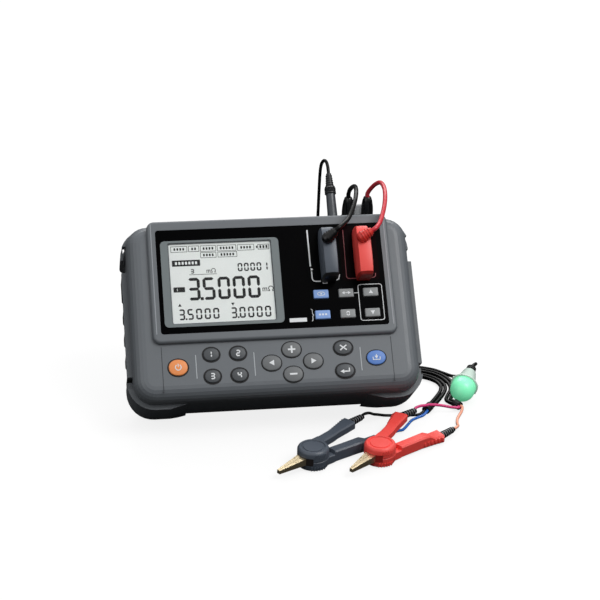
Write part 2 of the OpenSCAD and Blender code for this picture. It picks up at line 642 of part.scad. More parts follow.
module rear_case() {
    recess_mid = (recess_z0 + recess_z1) / 2;
    recess_h = recess_z1 - recess_z0;
    color([0.36, 0.38, 0.40]) on_meter() difference() {
        union() {
            difference() {
                union() {
                    difference() {
                        case_outer();
                        before(split_y);
                    }
                    intersection() {
                        bumper_shell();
                        bumper_zone();
                    }
                    for (x = [-1, 1]) translate([x * (case_w / 2 + bumper_side / 2 - seat), 0, 0])
                        translate([-bumper_side / 2, bumper_y0, rail_z0])
                            cube([bumper_side, rail_t, rail_z1 - rail_z0]);
                }
                case_inner();
            }
            sheet(0, recess_mid, recess_w + 2 * wall, recess_h + 2 * wall, recess_corner + wall,
                recess_y - wall - cover_t, case_d - wall + seat);
            battery_bay(bay_wall, bay_y0 - bay_wall, recess_y - wall + seat);
            at_bosses() translate([0, 0, split_y]) cylinder(r = boss_r, h = case_d - wall - split_y);
            at_cover_screws() translate([0, 0, recess_y - wall - cover_screw_l])
                cylinder(r = 2 * screw_r, h = cover_screw_l);
        }
        difference() {
            sheet(0, recess_mid, recess_w, recess_h, recess_corner, recess_y, case_d + over);
            for (x = [-1, 1]) translate([x * (stand_w / 2 + turn_gap + ear_t / 2) - ear_t / 2,
                recess_y - seat, stand_hinge_z - ear_w / 2]) cube([ear_t, recess_d + 2 * over, ear_w]);
        }
        battery_bay(0, bay_y0, recess_y + over);
        cover_sheet(0, bay_y1, recess_y + over);
        for (x = [-1, 1]) translate([x * (stand_w / 2 + turn_gap / 2), stand_hinge_y, stand_hinge_z])
            rotate([0, x * 90, 0]) cylinder(r = trunnion_r + running, h = trunnion_l + turn_gap);
        at_bosses() translate([0, 0, split_y - over]) cylinder(r = screw_r + seat, h = case_d);
        at_bosses() translate([0, 0, case_d - screw_sink])
            cylinder(r = screw_head_r + seat * 2, h = screw_sink + over);
        at_cover_screws() translate([0, 0, recess_y - cover_screw_l])
            cylinder(r = screw_r + seat / 4, h = cover_screw_l + over);
        for (x = [-1, 1]) translate([x * (case_w / 2 + strap_gap / 2) - strap_gap / 2, strap_y0,
            slot_rear_z - over])
                cube([strap_gap, strap_y1 - strap_y0, case_z1 - strap_end - slot_rear_z + over]);
        translate([jack_x, jack_y, case_z1 - 2 * wall]) cylinder(r = jack_r + seat, h = 3 * wall);
        translate([usb_x - usb_w / 2 - seat, usb_y - usb_h / 2 - seat, case_z1 - 2 * wall])
            cube([usb_w + 2 * seat, usb_h + 2 * seat, 3 * wall]);
        translate([usb_x - flap_w / 2 - turn_gap, usb_y - flap_d / 2 - turn_gap, case_z1 - flap_t - seat])
            cube([flap_w + 2 * turn_gap, flap_d + flap_t + 2 * turn_gap, wall]);
        rotate([lean, 0, 0]) translate([0, 0, -lift]) below_table();
    }
}

// Rubber grip behind the side rail, with a wavy outside
module side_grip(s) {
    z0 = rail_z0;
    z1 = rail_z1;
    y0 = bumper_y0 + rail_t + seat;
    color([0.07, 0.07, 0.08]) on_meter() difference() {
        translate([s * (case_w / 2 + grip_t / 2) - grip_t / 2, y0, z0]) cube([grip_t, grip_d, z1 - z0]);
        for (i = [0 : floor((z1 - z0) / wave_pitch) - 1])
            translate([s * (case_w / 2 + grip_t + wave_r - wave_cut), y0 + rail_t,
                z0 + wave_pitch * (i + 0.5)]) rotate([-90, 0, 0]) cylinder(r = wave_r, h = grip_d);
    }
}

module panel_sheet() {
    color([0.02, 0.02, 0.02]) on_meter() difference() {
        sheet(0, (panel_z0 + panel_z1) / 2, panel_w - 2 * seat, panel_h - 2 * seat,
            panel_corner - seat, skin, panel_t);
        sheet(frame_x, frame_z, frame_w, frame_h, frame_corner, -over, panel_t + over);
        for (i = [0 : len(bar_names) - 1])
            key_column(bar_x(i), bar_z(i), -over, panel_t + over) bar_outline(key_gap);
        at_sockets(socket_r + seat, -over, panel_t + over);
    }
}
module lcd_frame() {
    color([0.40, 0.45, 0.44]) on_meter() difference() {
        sheet(frame_x, frame_z, frame_w - 2 * seat, frame_h - 2 * seat, frame_corner - seat, skin,
            panel_t);
        sheet(frame_x, glass_z, glass_w, glass_h, glass_corner, -over, panel_t + over);
    }
}
module lcd_window() {
    color([0.9, 0.95, 0.95, 0.4]) on_meter()
        sheet(frame_x, glass_z, glass_w - 2 * seat, glass_h - 2 * seat, glass_corner - seat, 2 * skin,
            panel_t);
}
module lcd_module() {
    color([0.86, 0.88, 0.86]) on_meter()
        sheet(frame_x, glass_z, glass_w + module_grow, glass_h + module_grow, glass_corner,
            panel_t + ledge_t + seat, panel_t + ledge_t + seat + module_t);
}

// Rubber mat behind the keys
module keypad_mat() {
    mat_x = bar_x(0) - bar_key_w - key_flange;
    mat_z1 = bar_z(0) + bar_key_h;
    color([0.5, 0.52, 0.52]) on_meter() union() {
        translate([-case_w / 2 + mat_side, mat_y, case_z0 + mat_low])
            cube([case_w - 2 * mat_side, mat_t, face_h - mat_low]);
        translate([mat_x, mat_y, case_z0 + mat_low])
            cube([panel_w / 2 - mat_x, mat_t, mat_z1 - case_z0 - mat_low]);
    }
}

// Circuit board with its larger components on the rear side
module main_board() {
    color([0.05, 0.30, 0.16]) on_meter() difference() {
        sheet(0, board_z, board_w, board_h, wall, board_y, board_y + board_t);
        at_sockets(tube_r + seat, board_y - over, board_y + board_t + over);
    }
    back_y = board_y + board_t;
    color([0.1, 0.1, 0.1]) on_meter() {
        // Share of the board's width and height, then size as shares of the battery length
        chip_shares = [[-0.3, 0.2, 0.3, 0.3], [-0.1, -0.25, 0.4, 0.3], [0.1, 0.1, 0.25, 0.35],
            [-0.35, -0.3, 0.2, 0.2]];
        for (c = chip_shares) translate([board_w * c[0], back_y - seat, board_z + board_h * c[1]])
            translate([-battery_l * c[2] / 2, 0, -battery_l * c[3] / 2])
                cube([battery_l * c[2], part_t / 2, battery_l * c[3]]);
    }
    color([0.12, 0.12, 0.12]) on_meter() translate([board_w * 0.22, back_y - seat, board_z - board_h * 0.3])
        rotate([-90, 0, 0]) cylinder(r = part_t, h = part_t);
    color([0.85, 0.85, 0.8]) on_meter() translate([board_w * 0.38, back_y - seat, board_z - board_h * 0.32])
        cube([part_t * 1.5, part_t, part_t * 3]);
    color([0.9, 0.9, 0.92]) on_meter()
        translate([-board_w * 0.2, back_y + part_t / 2 - 2 * seat, board_z + board_h * 0.38])
            rotate([0, 90, 0]) cylinder(r = part_t / 2, h = battery_l * 0.4);
}

module terminal_sockets() {
    color([0.80, 0.62, 0.30]) on_meter() difference() {
        union() {
            at_sockets(socket_r, panel_t / 2, wall);
            at_sockets(tube_r, wall - seat, tube_l + wall);
        }
        at_sockets(pin_d / 2 + seat, -over, tube_l);
    }
}
module top_sockets() {
    color([0.1, 0.1, 0.11]) on_meter() translate([jack_x, jack_y, case_z1 - jack_l]) difference() {
        cylinder(r = jack_r, h = jack_l);
        translate([0, 0, wall]) cylinder(r = jack_bore_r, h = jack_l);
    }
    color([0.7, 0.7, 0.72]) on_meter()
        translate([usb_x - usb_w / 2, usb_y - usb_h / 2, case_z1 - flap_t - wall / 2 - usb_depth])
            difference() {
                cube([usb_w, usb_h, usb_depth]);
                translate([2 * seat, 2 * seat, wall / 2])
                    cube([usb_w - 4 * seat, usb_h - 4 * seat, usb_depth]);
            }
}
// Rubber cover of the USB socket, hinged at its rear edge
module usb_cover() {
    color([0.07, 0.07, 0.08]) on_meter() translate([usb_x - flap_w / 2, usb_y, case_z1 - flap_t]) {
        translate([0, -flap_d / 2, 0]) cube([flap_w, flap_d, flap_t]);
        translate([0, flap_d / 2, flap_t / 2]) rotate([0, 90, 0]) cylinder(r = flap_t / 2, h = flap_w);
    }
}

module battery_cover() {
    color([0.34, 0.36, 0.38]) on_meter() difference() {
        cover_sheet(seat, bay_y1 + seat, recess_y);
        at_cover_screws() cylinder(r = screw_r + seat, h = case_d);
    }
}
module batteries() {
    color([0.2, 0.2, 0.22]) on_meter() for (x = [-1, 1], i = [0 : 3])
        translate([x * (bay_w / 4) - battery_l / 2, (bay_y0 + bay_y1) / 2,
            bay_z0 + bay_gap + battery_pitch * i + battery_d / 2])
            rotate([0, 90, 0]) {
                cylinder(r = battery_d / 2, h = battery_l - wall / 2);
                cylinder(r = battery_d / 5, h = battery_l);
            }
}
module battery_contacts() {
    color([0.75, 0.75, 0.72]) on_meter() for (x = [-1, 0, 1], i = [0 : 3])
        translate([x * (bay_w - contact_t - seat) / 2 - contact_t / 2 * (x == 0 ? 2 : 1), bay_y0 + seat / 2,
            bay_z0 + battery_pitch * (i + 0.25)])
            cube([contact_t * (x == 0 ? 2 : 1), battery_d * 0.75, battery_d / 2]);
}
module case_screws() {
    head_y = case_d - screw_sink;
    color([0.6, 0.6, 0.62]) on_meter() {
        at_bosses() {
            translate([0, 0, screw_tip_y + seat]) cylinder(r = screw_r, h = head_y - screw_tip_y);
            translate([0, 0, head_y]) cylinder(r = screw_head_r, h = screw_head_t);
        }
        at_cover_screws() {
            translate([0, 0, recess_y - cover_screw_l + seat]) cylinder(r = screw_r, h = cover_screw_l);
            translate([0, 0, recess_y]) cylinder(r = screw_head_r, h = screw_head_t / 2);
        }
    }
}

// Broad flap with two trunnions, opened until its foot meets the table
module tilt_stand() {
    color([0.30, 0.32, 0.34]) translate([0, base_y, 0]) difference() {
        translate([0, hinge_world_y, hinge_world_z]) rotate([stand_tilt, 0, 0]) {
            difference() {
                union() {
                    translate([-stand_w / 2, -stand_t / 2, -stand_l])
                        cube([stand_w, stand_t, stand_l]);
                    rotate([0, 90, 0]) cylinder(r = stand_t / 2, h = stand_w, center = true);
                    rotate([0, 90, 0])
                        cylinder(r = trunnion_r, h = stand_w + 2 * trunnion_l, center = true);
                }
                translate([-stand_w * 0.38, stand_t / 2 - stand_t * 0.3, -stand_l * 0.85])
                    cube([stand_w * 0.76, stand_t, stand_l * 0.7]);
            }
        }
        below_table();
    }
}

module bar_key(i) {
    tone = i < 2 ? [0.30, 0.50, 0.80] : [0.45, 0.46, 0.47];
    color(tone) on_meter() {
        key_column(bar_x(i), bar_z(i), -key_rise + skin, flange_y + seat) bar_outline(0);
        key_column(bar_x(i), bar_z(i), flange_y, flange_y + key_flange_t) bar_outline(key_flange);
    }
}
module oval_flange(i) {
    intersection() {
        oval_outline(i, key_flange);
        translate([-oval_widths[i], key_flange_trim - oval_h(i) / 2]) square(2 * oval_widths[i]);
    }
}
module oval_key(i) {
    tone = i == 0 ? [0.95, 0.55, 0.25] : i == len(oval_names) - 1 ? [0.30, 0.50, 0.80] :
        i < 5 || i > 8 ? [0.25, 0.27, 0.29] : [0.42, 0.44, 0.45];
    color(tone) on_meter() {
        key_column(oval_x(i), oval_z(i), face_y - key_rise, flange_y + seat) oval_outline(i, 0);
        key_column(oval_x(i), oval_z(i), flange_y, flange_y + key_flange_t) oval_flange(i);
    }
}

// Double plug over two sockets, with a ribbed boot that points up and to the right
module double_plug(x, way, tone) {
    color(tone) on_meter() {
        translate([x, 0, 0]) soft_box(plug_w, socket_z - plug_h / 2, socket_z + plug_h / 2,
            -plug_d, -plug_gap, plug_corner, plug_edge, seat * 2);
        translate([x - boot_side, -plug_d, socket_z + plug_h / 2 - plug_boot_drop]) rotate(way)
            translate([0, 0, -boot_sink]) boot(boot_r, boot_tip_r, boot_l + boot_sink, 4);
    }
    color([0.8, 0.62, 0.3]) on_meter() for (z = [-1, 1])
        translate([x, -plug_gap - seat, socket_z + z * socket_pitch / 2])
            rotate([-90, 0, 0]) cylinder(r = pin_d / 2, h = pin_l);
}
module plug_black() { double_plug(socket_x, black_boot_way, [0.12, 0.13, 0.15]); }
module plug_red() { double_plug(socket_x + colour_pitch, red_boot_way, [0.85, 0.12, 0.10]); }
module short_leads() {
    color([0.05, 0.05, 0.05]) sweep(black_lead_route, short_d, 8);
    color([0.75, 0.05, 0.08]) sweep(red_lead_route, short_d, 8);
}
module lead_junction() {
    color([0.06, 0.06, 0.06]) translate([junction_x, junction_y, 0]) {
        hull() for (x = [-1, 1], z = [junction_z0 + junction_edge, junction_z1 - junction_edge])
            translate([x * (junction_w / 2 - junction_edge), 0, z]) rotate([90, 0, 0])
                cylinder(r = junction_edge, h = junction_d, center = true, $fn = 24);
        for (x = [-1, 1]) translate([x * junction_boot_x, 0, junction_z1 - seat])
            boot(junction_boot_r, junction_boot_tip_r, junction_boot_l, 3);
    }
    color([0.7, 0.7, 0.7]) translate([junction_x, junction_y, junction_z1 - seat])
        cylinder(r = junction_tab_r, h = junction_tab_h);
}
module main_cable() {
    color([0.08, 0.08, 0.09]) {
        sweep(main_down_route, main_d, 10);
        sweep(main_back_route, main_d, 10);
    }
}
module main_cable_coil() {
    color([0.08, 0.08, 0.09]) sweep(main_coil_route, main_d, 6);
}
module branch_junction() {
    color([0.06, 0.06, 0.06]) translate([second_x, second_y, 0])
        hull() for (x = [second_edge, second_l - second_edge], y = [-1, 1])
            translate([x, y * (second_w / 2 - second_edge), 0])
                cylinder(r = second_edge, h = second_h, $fn = 24);
}
module branch_cords() {
    color([0.08, 0.08, 0.09]) {
        for (p = [black_branch_route, red_branch_route], side = [-1, 1])
            sweep(beside(p, side * (branch_d + strand_gap) / 2), branch_d, 8);
    }
}
// Heat-shrink sleeve at the end of a branch cord
module sleeve(p, l) {
    n = len(p) - 1;
    sweep([p[n], p[n] + level(p[n] - p[n - 1]) * l], 2 * sleeve_r, 12);
}
module branch_sleeves() {
    color([0.04, 0.04, 0.04]) {
        sleeve(black_branch_route, black_sleeve_l);
        sleeve(red_branch_route, red_sleeve_l);
    }
}
module clip_wires() {
    color([0.06, 0.06, 0.06]) sweep(black_wire_route, wire_d, 8);
    color([0.05, 0.30, 0.75]) sweep(blue_wire_route, wire_d, 8);
    color([0.80, 0.20, 0.45]) sweep(pink_wire_route, wire_d, 8);
    color([0.95, 0.60, 0.50]) sweep(salmon_wire_route, wire_d, 8);
}

module lamp_plug() {
    color([0.38, 0.39, 0.40]) on_meter() translate([jack_x, jack_y, case_z1]) {
        translate([0, 0, seat]) cylinder(r1 = lamp_plug_r0, r2 = lamp_plug_r1, h = lamp_plug_l);
        translate([0, 0, lamp_plug_l]) cylinder(r = collar_r, h = collar_l);
        translate([0, 0, lamp_plug_l + collar_l]) boot(relief_r, relief_r * 0.7, relief_l, 4);
        translate([0, 0, -lamp_pin_l]) cylinder(r = lamp_pin_r, h = lamp_pin_l + seat * 2);
    }
}
module lamp_cord() {
    color([0.05, 0.05, 0.05]) {
        sweep(lamp_down_route, lamp_cord_d, 8);
        sweep(lamp_back_route, lamp_cord_d, 8);
    }
}
module lamp_cord_coil() {
    color([0.05, 0.05, 0.05]) sweep(lamp_coil_route, lamp_cord_d, 6);
}
// The lamp lies with its dome towards the front
module at_lamp() {
    translate(lamp_at) rotate([0, 0, lamp_turn]) translate([0, 0, lamp_axis_z])
        rotate([0, 90 + lamp_tilt, 0]) children();
}
module lamp_base() {
    cap_r = dome_d * 0.2;
    cap_l = dome_d * 0.32;
    color([0.86, 0.90, 0.88, 0.6]) at_lamp() {
        translate([0, 0, -lamp_base_l]) cylinder(r1 = dome_d * 0.26, r2 = dome_d * 0.44, h = lamp_base_l);
        cylinder(r = dome_d * 0.55, h = wall / 2);
    }
    color([0.06, 0.06, 0.06]) at_lamp() translate([0, 0, -lamp_base_l - cap_l])
        boot(cap_r, cap_r * 0.9, cap_l, 2);
}
module lamp_dome() {
    color([0.35, 0.85, 0.60, 0.8]) at_lamp() translate([0, 0, wall / 2]) {
        difference() {
            union() {
                cylinder(r = dome_d / 2 - seat * 3, h = dome_d * 0.25);
                translate([0, 0, dome_d * 0.25]) sphere(r = dome_d / 2 - seat * 3);
            }
            translate([0, 0, -dome_d]) cylinder(r = dome_d, h = dome_d);
        }
    }
}

// Clip halves: pivot at the origin, handles towards +x, jaws towards -x, lying on the table
half_h = clip_h / 2 - turn_gap / 2;
base_z0 = 0.6;
base_z1 = 8.6;
base_end_z1 = 6;
base_high_x0 = 10.7;
base_high_x1 = 33;
base_low_x = 39;
lever_z1 = 12.4;
lever_short = 6;
handle_out = 18.6;
handle_in = 9.4;
root_in = 2.3;
drum_edge = 1.6;
jaw_root = 6;
jaw_z0 = 4.4;
jaw_z1 = 8.8;
jaw_half = 3.8;
jaw_tip = 1.2;
notch_x = 4.5;
notch_half = 7.4;
jaw_seat = 0.3;
notch_z0 = jaw_z0 - jaw_seat;
notch_z1 = jaw_z1 + jaw_seat;
clip_pin_r = 1.5;
clip_pin_inset = 1;
spring_r = 4.2;
spring_in_r = 2.4;
spring_z0 = 3;
spring_z1 = 10;
black_base_boot_turn = 1;
black_lever_boot_turn = 8.5;
red_base_boot_turn = 4;
red_lever_boot_turn = -10;
grip_ribs = 6;
grip_rib_r = 0.8;
clip_boot_r = 2.4;
clip_boot_tip_r = 1.6;

module drum_half(upper) {
    r = drum_d / 2;
    difference() {
        if (upper) rotate_extrude() polygon(concat([[0, half_h + turn_gap], [r, half_h + turn_gap]],
            arc(r - drum_edge, clip_h - drum_edge, drum_edge, 0, 90), [[0, clip_h]]));
        else rotate_extrude() polygon(concat([[0, 0]], arc(r - drum_edge, drum_edge, drum_edge, -90, 0),
            [[r, half_h], [0, half_h]]));
        translate([-drum_d - notch_x, -notch_half, notch_z0])
            cube([drum_d, 2 * notch_half, notch_z1 - notch_z0]);
        translate([0, 0, spring_z0 - seat * 2])
            cylinder(r = spring_r + seat * 2, h = spring_z1 - spring_z0 + seat * 4);
        translate([0, 0, -over]) cylinder(r = clip_pin_r + running, h = clip_h + 2 * over);
    }
}
// Handle on the +y side, with a ribbed boot at its end that turns by boot_turn
module handle(upper, closer, boot_turn) {
    r = drum_d / 2;
    l = upper ? handle_l - lever_short : handle_l;
    z0 = upper ? half_h + turn_gap : base_z0;
    z1 = upper ? lever_z1 : base_end_z1;
    rotate([0, 0, -closer]) {
        difference() {
            union() {
                intersection() {
                    translate([0, 0, base_z0]) linear_extrude(lever_z1) polygon([
                        [r * 0.5, r * 0.86], [r * 1.06, r * 0.95], [l * 0.6, handle_out * 0.71],
                        [l * 0.93, handle_out], [l, handle_in], [l * 0.6, handle_in * 0.62],
                        [r * 1.1, root_in]]);
                    rotate([90, 0, 0]) translate([0, 0, -handle_out - over])
                        linear_extrude(handle_out + 2 * over) polygon(upper ?
                            [[0, z0], [l + over, z0], [l + over, z1], [0, z1]] :
                            [[0, z0], [l + over, z0], [l + over, z1], [base_low_x, z1],
                                [base_high_x1, base_z1], [base_high_x0, base_z1],
                                [base_high_x0, half_h], [0, half_h]]);
                }
                for (i = [0 : grip_ribs - 1])
                    translate([l * (0.62 + 0.055 * i), handle_out * (0.715 + 0.05 * i), z0 + grip_rib_r])
                        cylinder(r = grip_rib_r, h = base_end_z1 - base_z0 - 2 * grip_rib_r);
            }
            translate([0, 0, -over]) cylinder(r = spring_r + seat * 2, h = clip_h + 2 * over);
        }
        translate([l * 0.965 - over, (handle_in + handle_out) / 2, (z0 + z1) / 2])
            rotate([0, 90, boot_turn]) boot(clip_boot_r, clip_boot_tip_r, clip_boot_l, 4);
    }
}
module clip_base(closer, boot_turn) {
    drum_half(false);
    mirror([0, 1, 0]) handle(false, closer, boot_turn);
}
module clip_lever(closer, boot_turn) {
    drum_half(true);
    handle(true, closer, boot_turn);
}
// Jaw on the +y side, closed against its mate at y = 0
module jaw() {
    gap = seat;
    intersection() {
        translate([0, 0, jaw_z0]) linear_extrude(jaw_z1 - jaw_z0) polygon([[-jaw_root, gap],
            [-jaw_root, jaw_half], [-drum_d / 2, jaw_half], [-jaw_l, jaw_tip], [-jaw_l, gap]]);
        translate([0, jaw_half + over, 0]) rotate([90, 0, 0]) linear_extrude(jaw_half + 2 * over) polygon([
            [-jaw_root, jaw_z0], [-jaw_root, jaw_z1], [-drum_d / 2, jaw_z1],
            [-jaw_l, jaw_z0 + jaw_tip * 2], [-jaw_l, jaw_z0]]);
    }
}
module at_black_clip() { translate(black_clip_at) rotate([0, 0, black_clip_turn]) children(); }
module at_red_clip() { translate(red_clip_at) rotate([0, 0, red_clip_turn]) children(); }

module clip_black_base() {
    color([0.13, 0.14, 0.16]) at_black_clip() clip_base(black_closer, black_base_boot_turn);
}
module clip_black_lever() {
    color([0.13, 0.14, 0.16]) at_black_clip() clip_lever(black_closer, black_lever_boot_turn);
}
module clip_red_base() { color([0.85, 0.12, 0.12]) at_red_clip() clip_base(0, red_base_boot_turn); }
module clip_red_lever() { color([0.85, 0.12, 0.12]) at_red_clip() clip_lever(0, red_lever_boot_turn); }
module clip_base_jaws() {
    color([0.78, 0.62, 0.32]) {
        at_black_clip() mirror([0, 1, 0]) jaw();
        at_red_clip() mirror([0, 1, 0]) jaw();
    }
}
module clip_black_lever_jaw() { color([0.78, 0.62, 0.32]) at_black_clip() jaw(); }
module clip_red_lever_jaw() { color([0.78, 0.62, 0.32]) at_red_clip() jaw(); }
module clip_pin() {
    translate([0, 0, clip_pin_inset]) cylinder(r = clip_pin_r, h = clip_h - 2 * clip_pin_inset);
}
module clip_pins() {
    color([0.7, 0.7, 0.72]) {
        at_black_clip() clip_pin();
        at_red_clip() clip_pin();
    }
}
module clip_spring() {
    translate([0, 0, spring_z0]) difference() {
        cylinder(r = spring_r, h = spring_z1 - spring_z0);
        translate([0, 0, -over]) cylinder(r = spring_in_r, h = spring_z1 - spring_z0 + 2 * over);
    }
}
module clip_springs() {
    color([0.6, 0.6, 0.62]) {
        at_black_clip() clip_spring();
        at_red_clip() clip_spring();
    }
}

front_cover();
rear_case();
side_grip(-1);  // side_grip_left
side_grip(1);  // side_grip_right
panel_sheet();
lcd_frame();
lcd_window();
lcd_module();
main_board();
keypad_mat();
terminal_sockets();
top_sockets();
usb_cover();
battery_cover();
batteries();
battery_contacts();
case_screws();
tilt_stand();
for (i = [0 : len(bar_names) - 1]) bar_key(i);
for (i = [0 : len(oval_names) - 1]) oval_key(i);
plug_black();
plug_red();
short_leads();
lead_junction();
main_cable();
main_cable_coil();
branch_junction();
branch_cords();
branch_sleeves();
clip_wires();
lamp_plug();
lamp_cord();
lamp_cord_coil();
lamp_base();
lamp_dome();
clip_black_base();
clip_black_lever();
clip_red_base();
clip_red_lever();
clip_base_jaws();
clip_black_lever_jaw();
clip_red_lever_jaw();
clip_pins();
clip_springs();
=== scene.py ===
"""Looks of the leaning resistance meter with its leads, clips and lamp."""
import math
import bmesh
import bpy
from mathutils import Matrix, Vector


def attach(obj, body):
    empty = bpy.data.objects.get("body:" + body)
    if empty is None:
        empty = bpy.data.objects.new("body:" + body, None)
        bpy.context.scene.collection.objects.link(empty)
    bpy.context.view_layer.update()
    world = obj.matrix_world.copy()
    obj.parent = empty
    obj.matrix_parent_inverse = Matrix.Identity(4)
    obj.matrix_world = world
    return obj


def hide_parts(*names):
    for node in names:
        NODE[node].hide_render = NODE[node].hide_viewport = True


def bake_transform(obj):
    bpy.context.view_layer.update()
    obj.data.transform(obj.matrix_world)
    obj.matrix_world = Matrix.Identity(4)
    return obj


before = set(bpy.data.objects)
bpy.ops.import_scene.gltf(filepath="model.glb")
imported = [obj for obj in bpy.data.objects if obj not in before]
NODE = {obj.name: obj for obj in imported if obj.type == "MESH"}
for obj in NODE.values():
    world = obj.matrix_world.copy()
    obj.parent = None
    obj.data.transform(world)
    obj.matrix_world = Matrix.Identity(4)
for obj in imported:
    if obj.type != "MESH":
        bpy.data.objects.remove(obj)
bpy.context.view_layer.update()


def moved(*place):
    return Matrix.Translation(place)


def turned_by(angle, axis):
    return Matrix.Rotation(math.radians(angle), 4, axis)


# Case frame: x across, y into the case from the bezel, z up from the bumpers, in millimetres
MM, LEAN, BASE_Y, LIFT = 0.001, 42, -75.0391, 31.1426
WORLD = Matrix.Scale(MM, 4)
METER = WORLD @ moved(0, BASE_Y, LIFT) @ turned_by(-LEAN, "X")


# Materials
# Depth of the fine bumps in metres, how much coarser the colour's noise is, and the share of white in it
BUMP_DEPTH, COARSE, WHITE_SHARE = 0.0002, 12, 0.6
BLACK, WHITE = (0, 0, 0, 1), (1, 1, 1, 1)
M = {}


def rgb(*levels):
    """Linear colour from levels between 0 and 255."""
    shares = [level / 255 for level in levels]
    return (*(v / 12.92 if v <= 0.04045 else ((v + 0.055) / 1.055) ** 2.4 for v in shares), 1)


def mix_colour(a, b, t):
    return (*(x + (y - x) * t for x, y in zip(a[:3], b[:3])), 1)


def node_material(name):
    """New material, kept in M under its name. Returns its nodes and the function that links them."""
    m = M[name] = bpy.data.materials.new(name)
    m.use_nodes = True
    return m.node_tree.nodes, m.node_tree.links.new


def set_sockets(node, sockets):
    for name, value in sockets.items():
        node.inputs[name.replace("_", " ")].default_value = value


def add_node(n, kind, **sockets):
    node = n.new("ShaderNode" + kind)
    set_sockets(node, sockets)
    return node


def add_noise(n, link, vector, scale, detail=2):
    noise = add_node(n, "TexNoise", Scale=scale, Detail=detail)
    link(vector, noise.inputs["Vector"])
    return noise.outputs["Fac"]


def add_ramp(n, link, factor, low, high, socket):
    """Colour that runs from low to high with the factor."""
    ramp = add_node(n, "Mix")
    ramp.data_type = "RGBA"
    set_sockets(ramp, {"A": low, "B": high})
    link(factor, ramp.inputs["Factor"])
    link(ramp.outputs["Result"], socket)


def material(name, colour, rough=0.5, grain=1500, bump=0.08, vary=0.06, streak=(1, 1, 1), rough_vary=0.08,
             **sockets):
    """Principled surface with a noise in its colour, roughness and bump."""
    n, link = node_material(name)
    p = n["Principled BSDF"]
    coord = add_node(n, "TexCoord")
    place = add_node(n, "Mapping", Scale=streak)
    link(coord.outputs["Object"], place.inputs["Vector"])
    soft = add_noise(n, link, place.outputs["Vector"], grain / COARSE, 4)
    fine = add_noise(n, link, place.outputs["Vector"], grain)
    dark = mix_colour(colour, BLACK, vary)
    light = mix_colour(colour, WHITE, vary * WHITE_SHARE * max(colour[:3]))
    add_ramp(n, link, soft, dark, light, p.inputs["Base Color"])
    span = add_node(n, "MapRange", To_Min=max(0.02, rough - rough_vary), To_Max=min(1, rough + rough_vary))
    link(soft, span.inputs["Value"])
    link(span.outputs["Result"], p.inputs["Roughness"])
    b = add_node(n, "Bump", Strength=bump, Distance=BUMP_DEPTH)
    link(fine, b.inputs["Height"])
    link(b.outputs["Normal"], p.inputs["Normal"])
    set_sockets(p, sockets)


def clear(name, tint, gloss=0.02, index=1.35):
    """Thin clear sheet: transparent, with a mirror layer at grazing angles."""
    n, link = node_material(name)
    n.clear()
    out = add_node(n, "OutputMaterial")
    mix = add_node(n, "MixShader")
    see = add_node(n, "BsdfTransparent", Color=tint)
    shine = add_node(n, "BsdfGlossy", Roughness=gloss)
    edge = add_node(n, "Fresnel", IOR=index)
    link(edge.outputs["Fac"], mix.inputs["Fac"])
    link(see.outputs["BSDF"], mix.inputs[1])
    link(shine.outputs["BSDF"], mix.inputs[2])
    link(mix.outputs["Shader"], out.inputs["Surface"])


def glowing(name, low, high, glow, strength, rough=0.3, grain=120):
    """Lit plastic whose colour wanders between two tones."""
    n, link = node_material(name)
    p = n["Principled BSDF"]
    coord = add_node(n, "TexCoord")
    noise = add_noise(n, link, coord.outputs["Object"], grain)
    add_ramp(n, link, noise, low, high, p.inputs["Base Color"])
    set_sockets(p, {"Roughness": rough, "Emission Color": glow, "Emission Strength": strength})


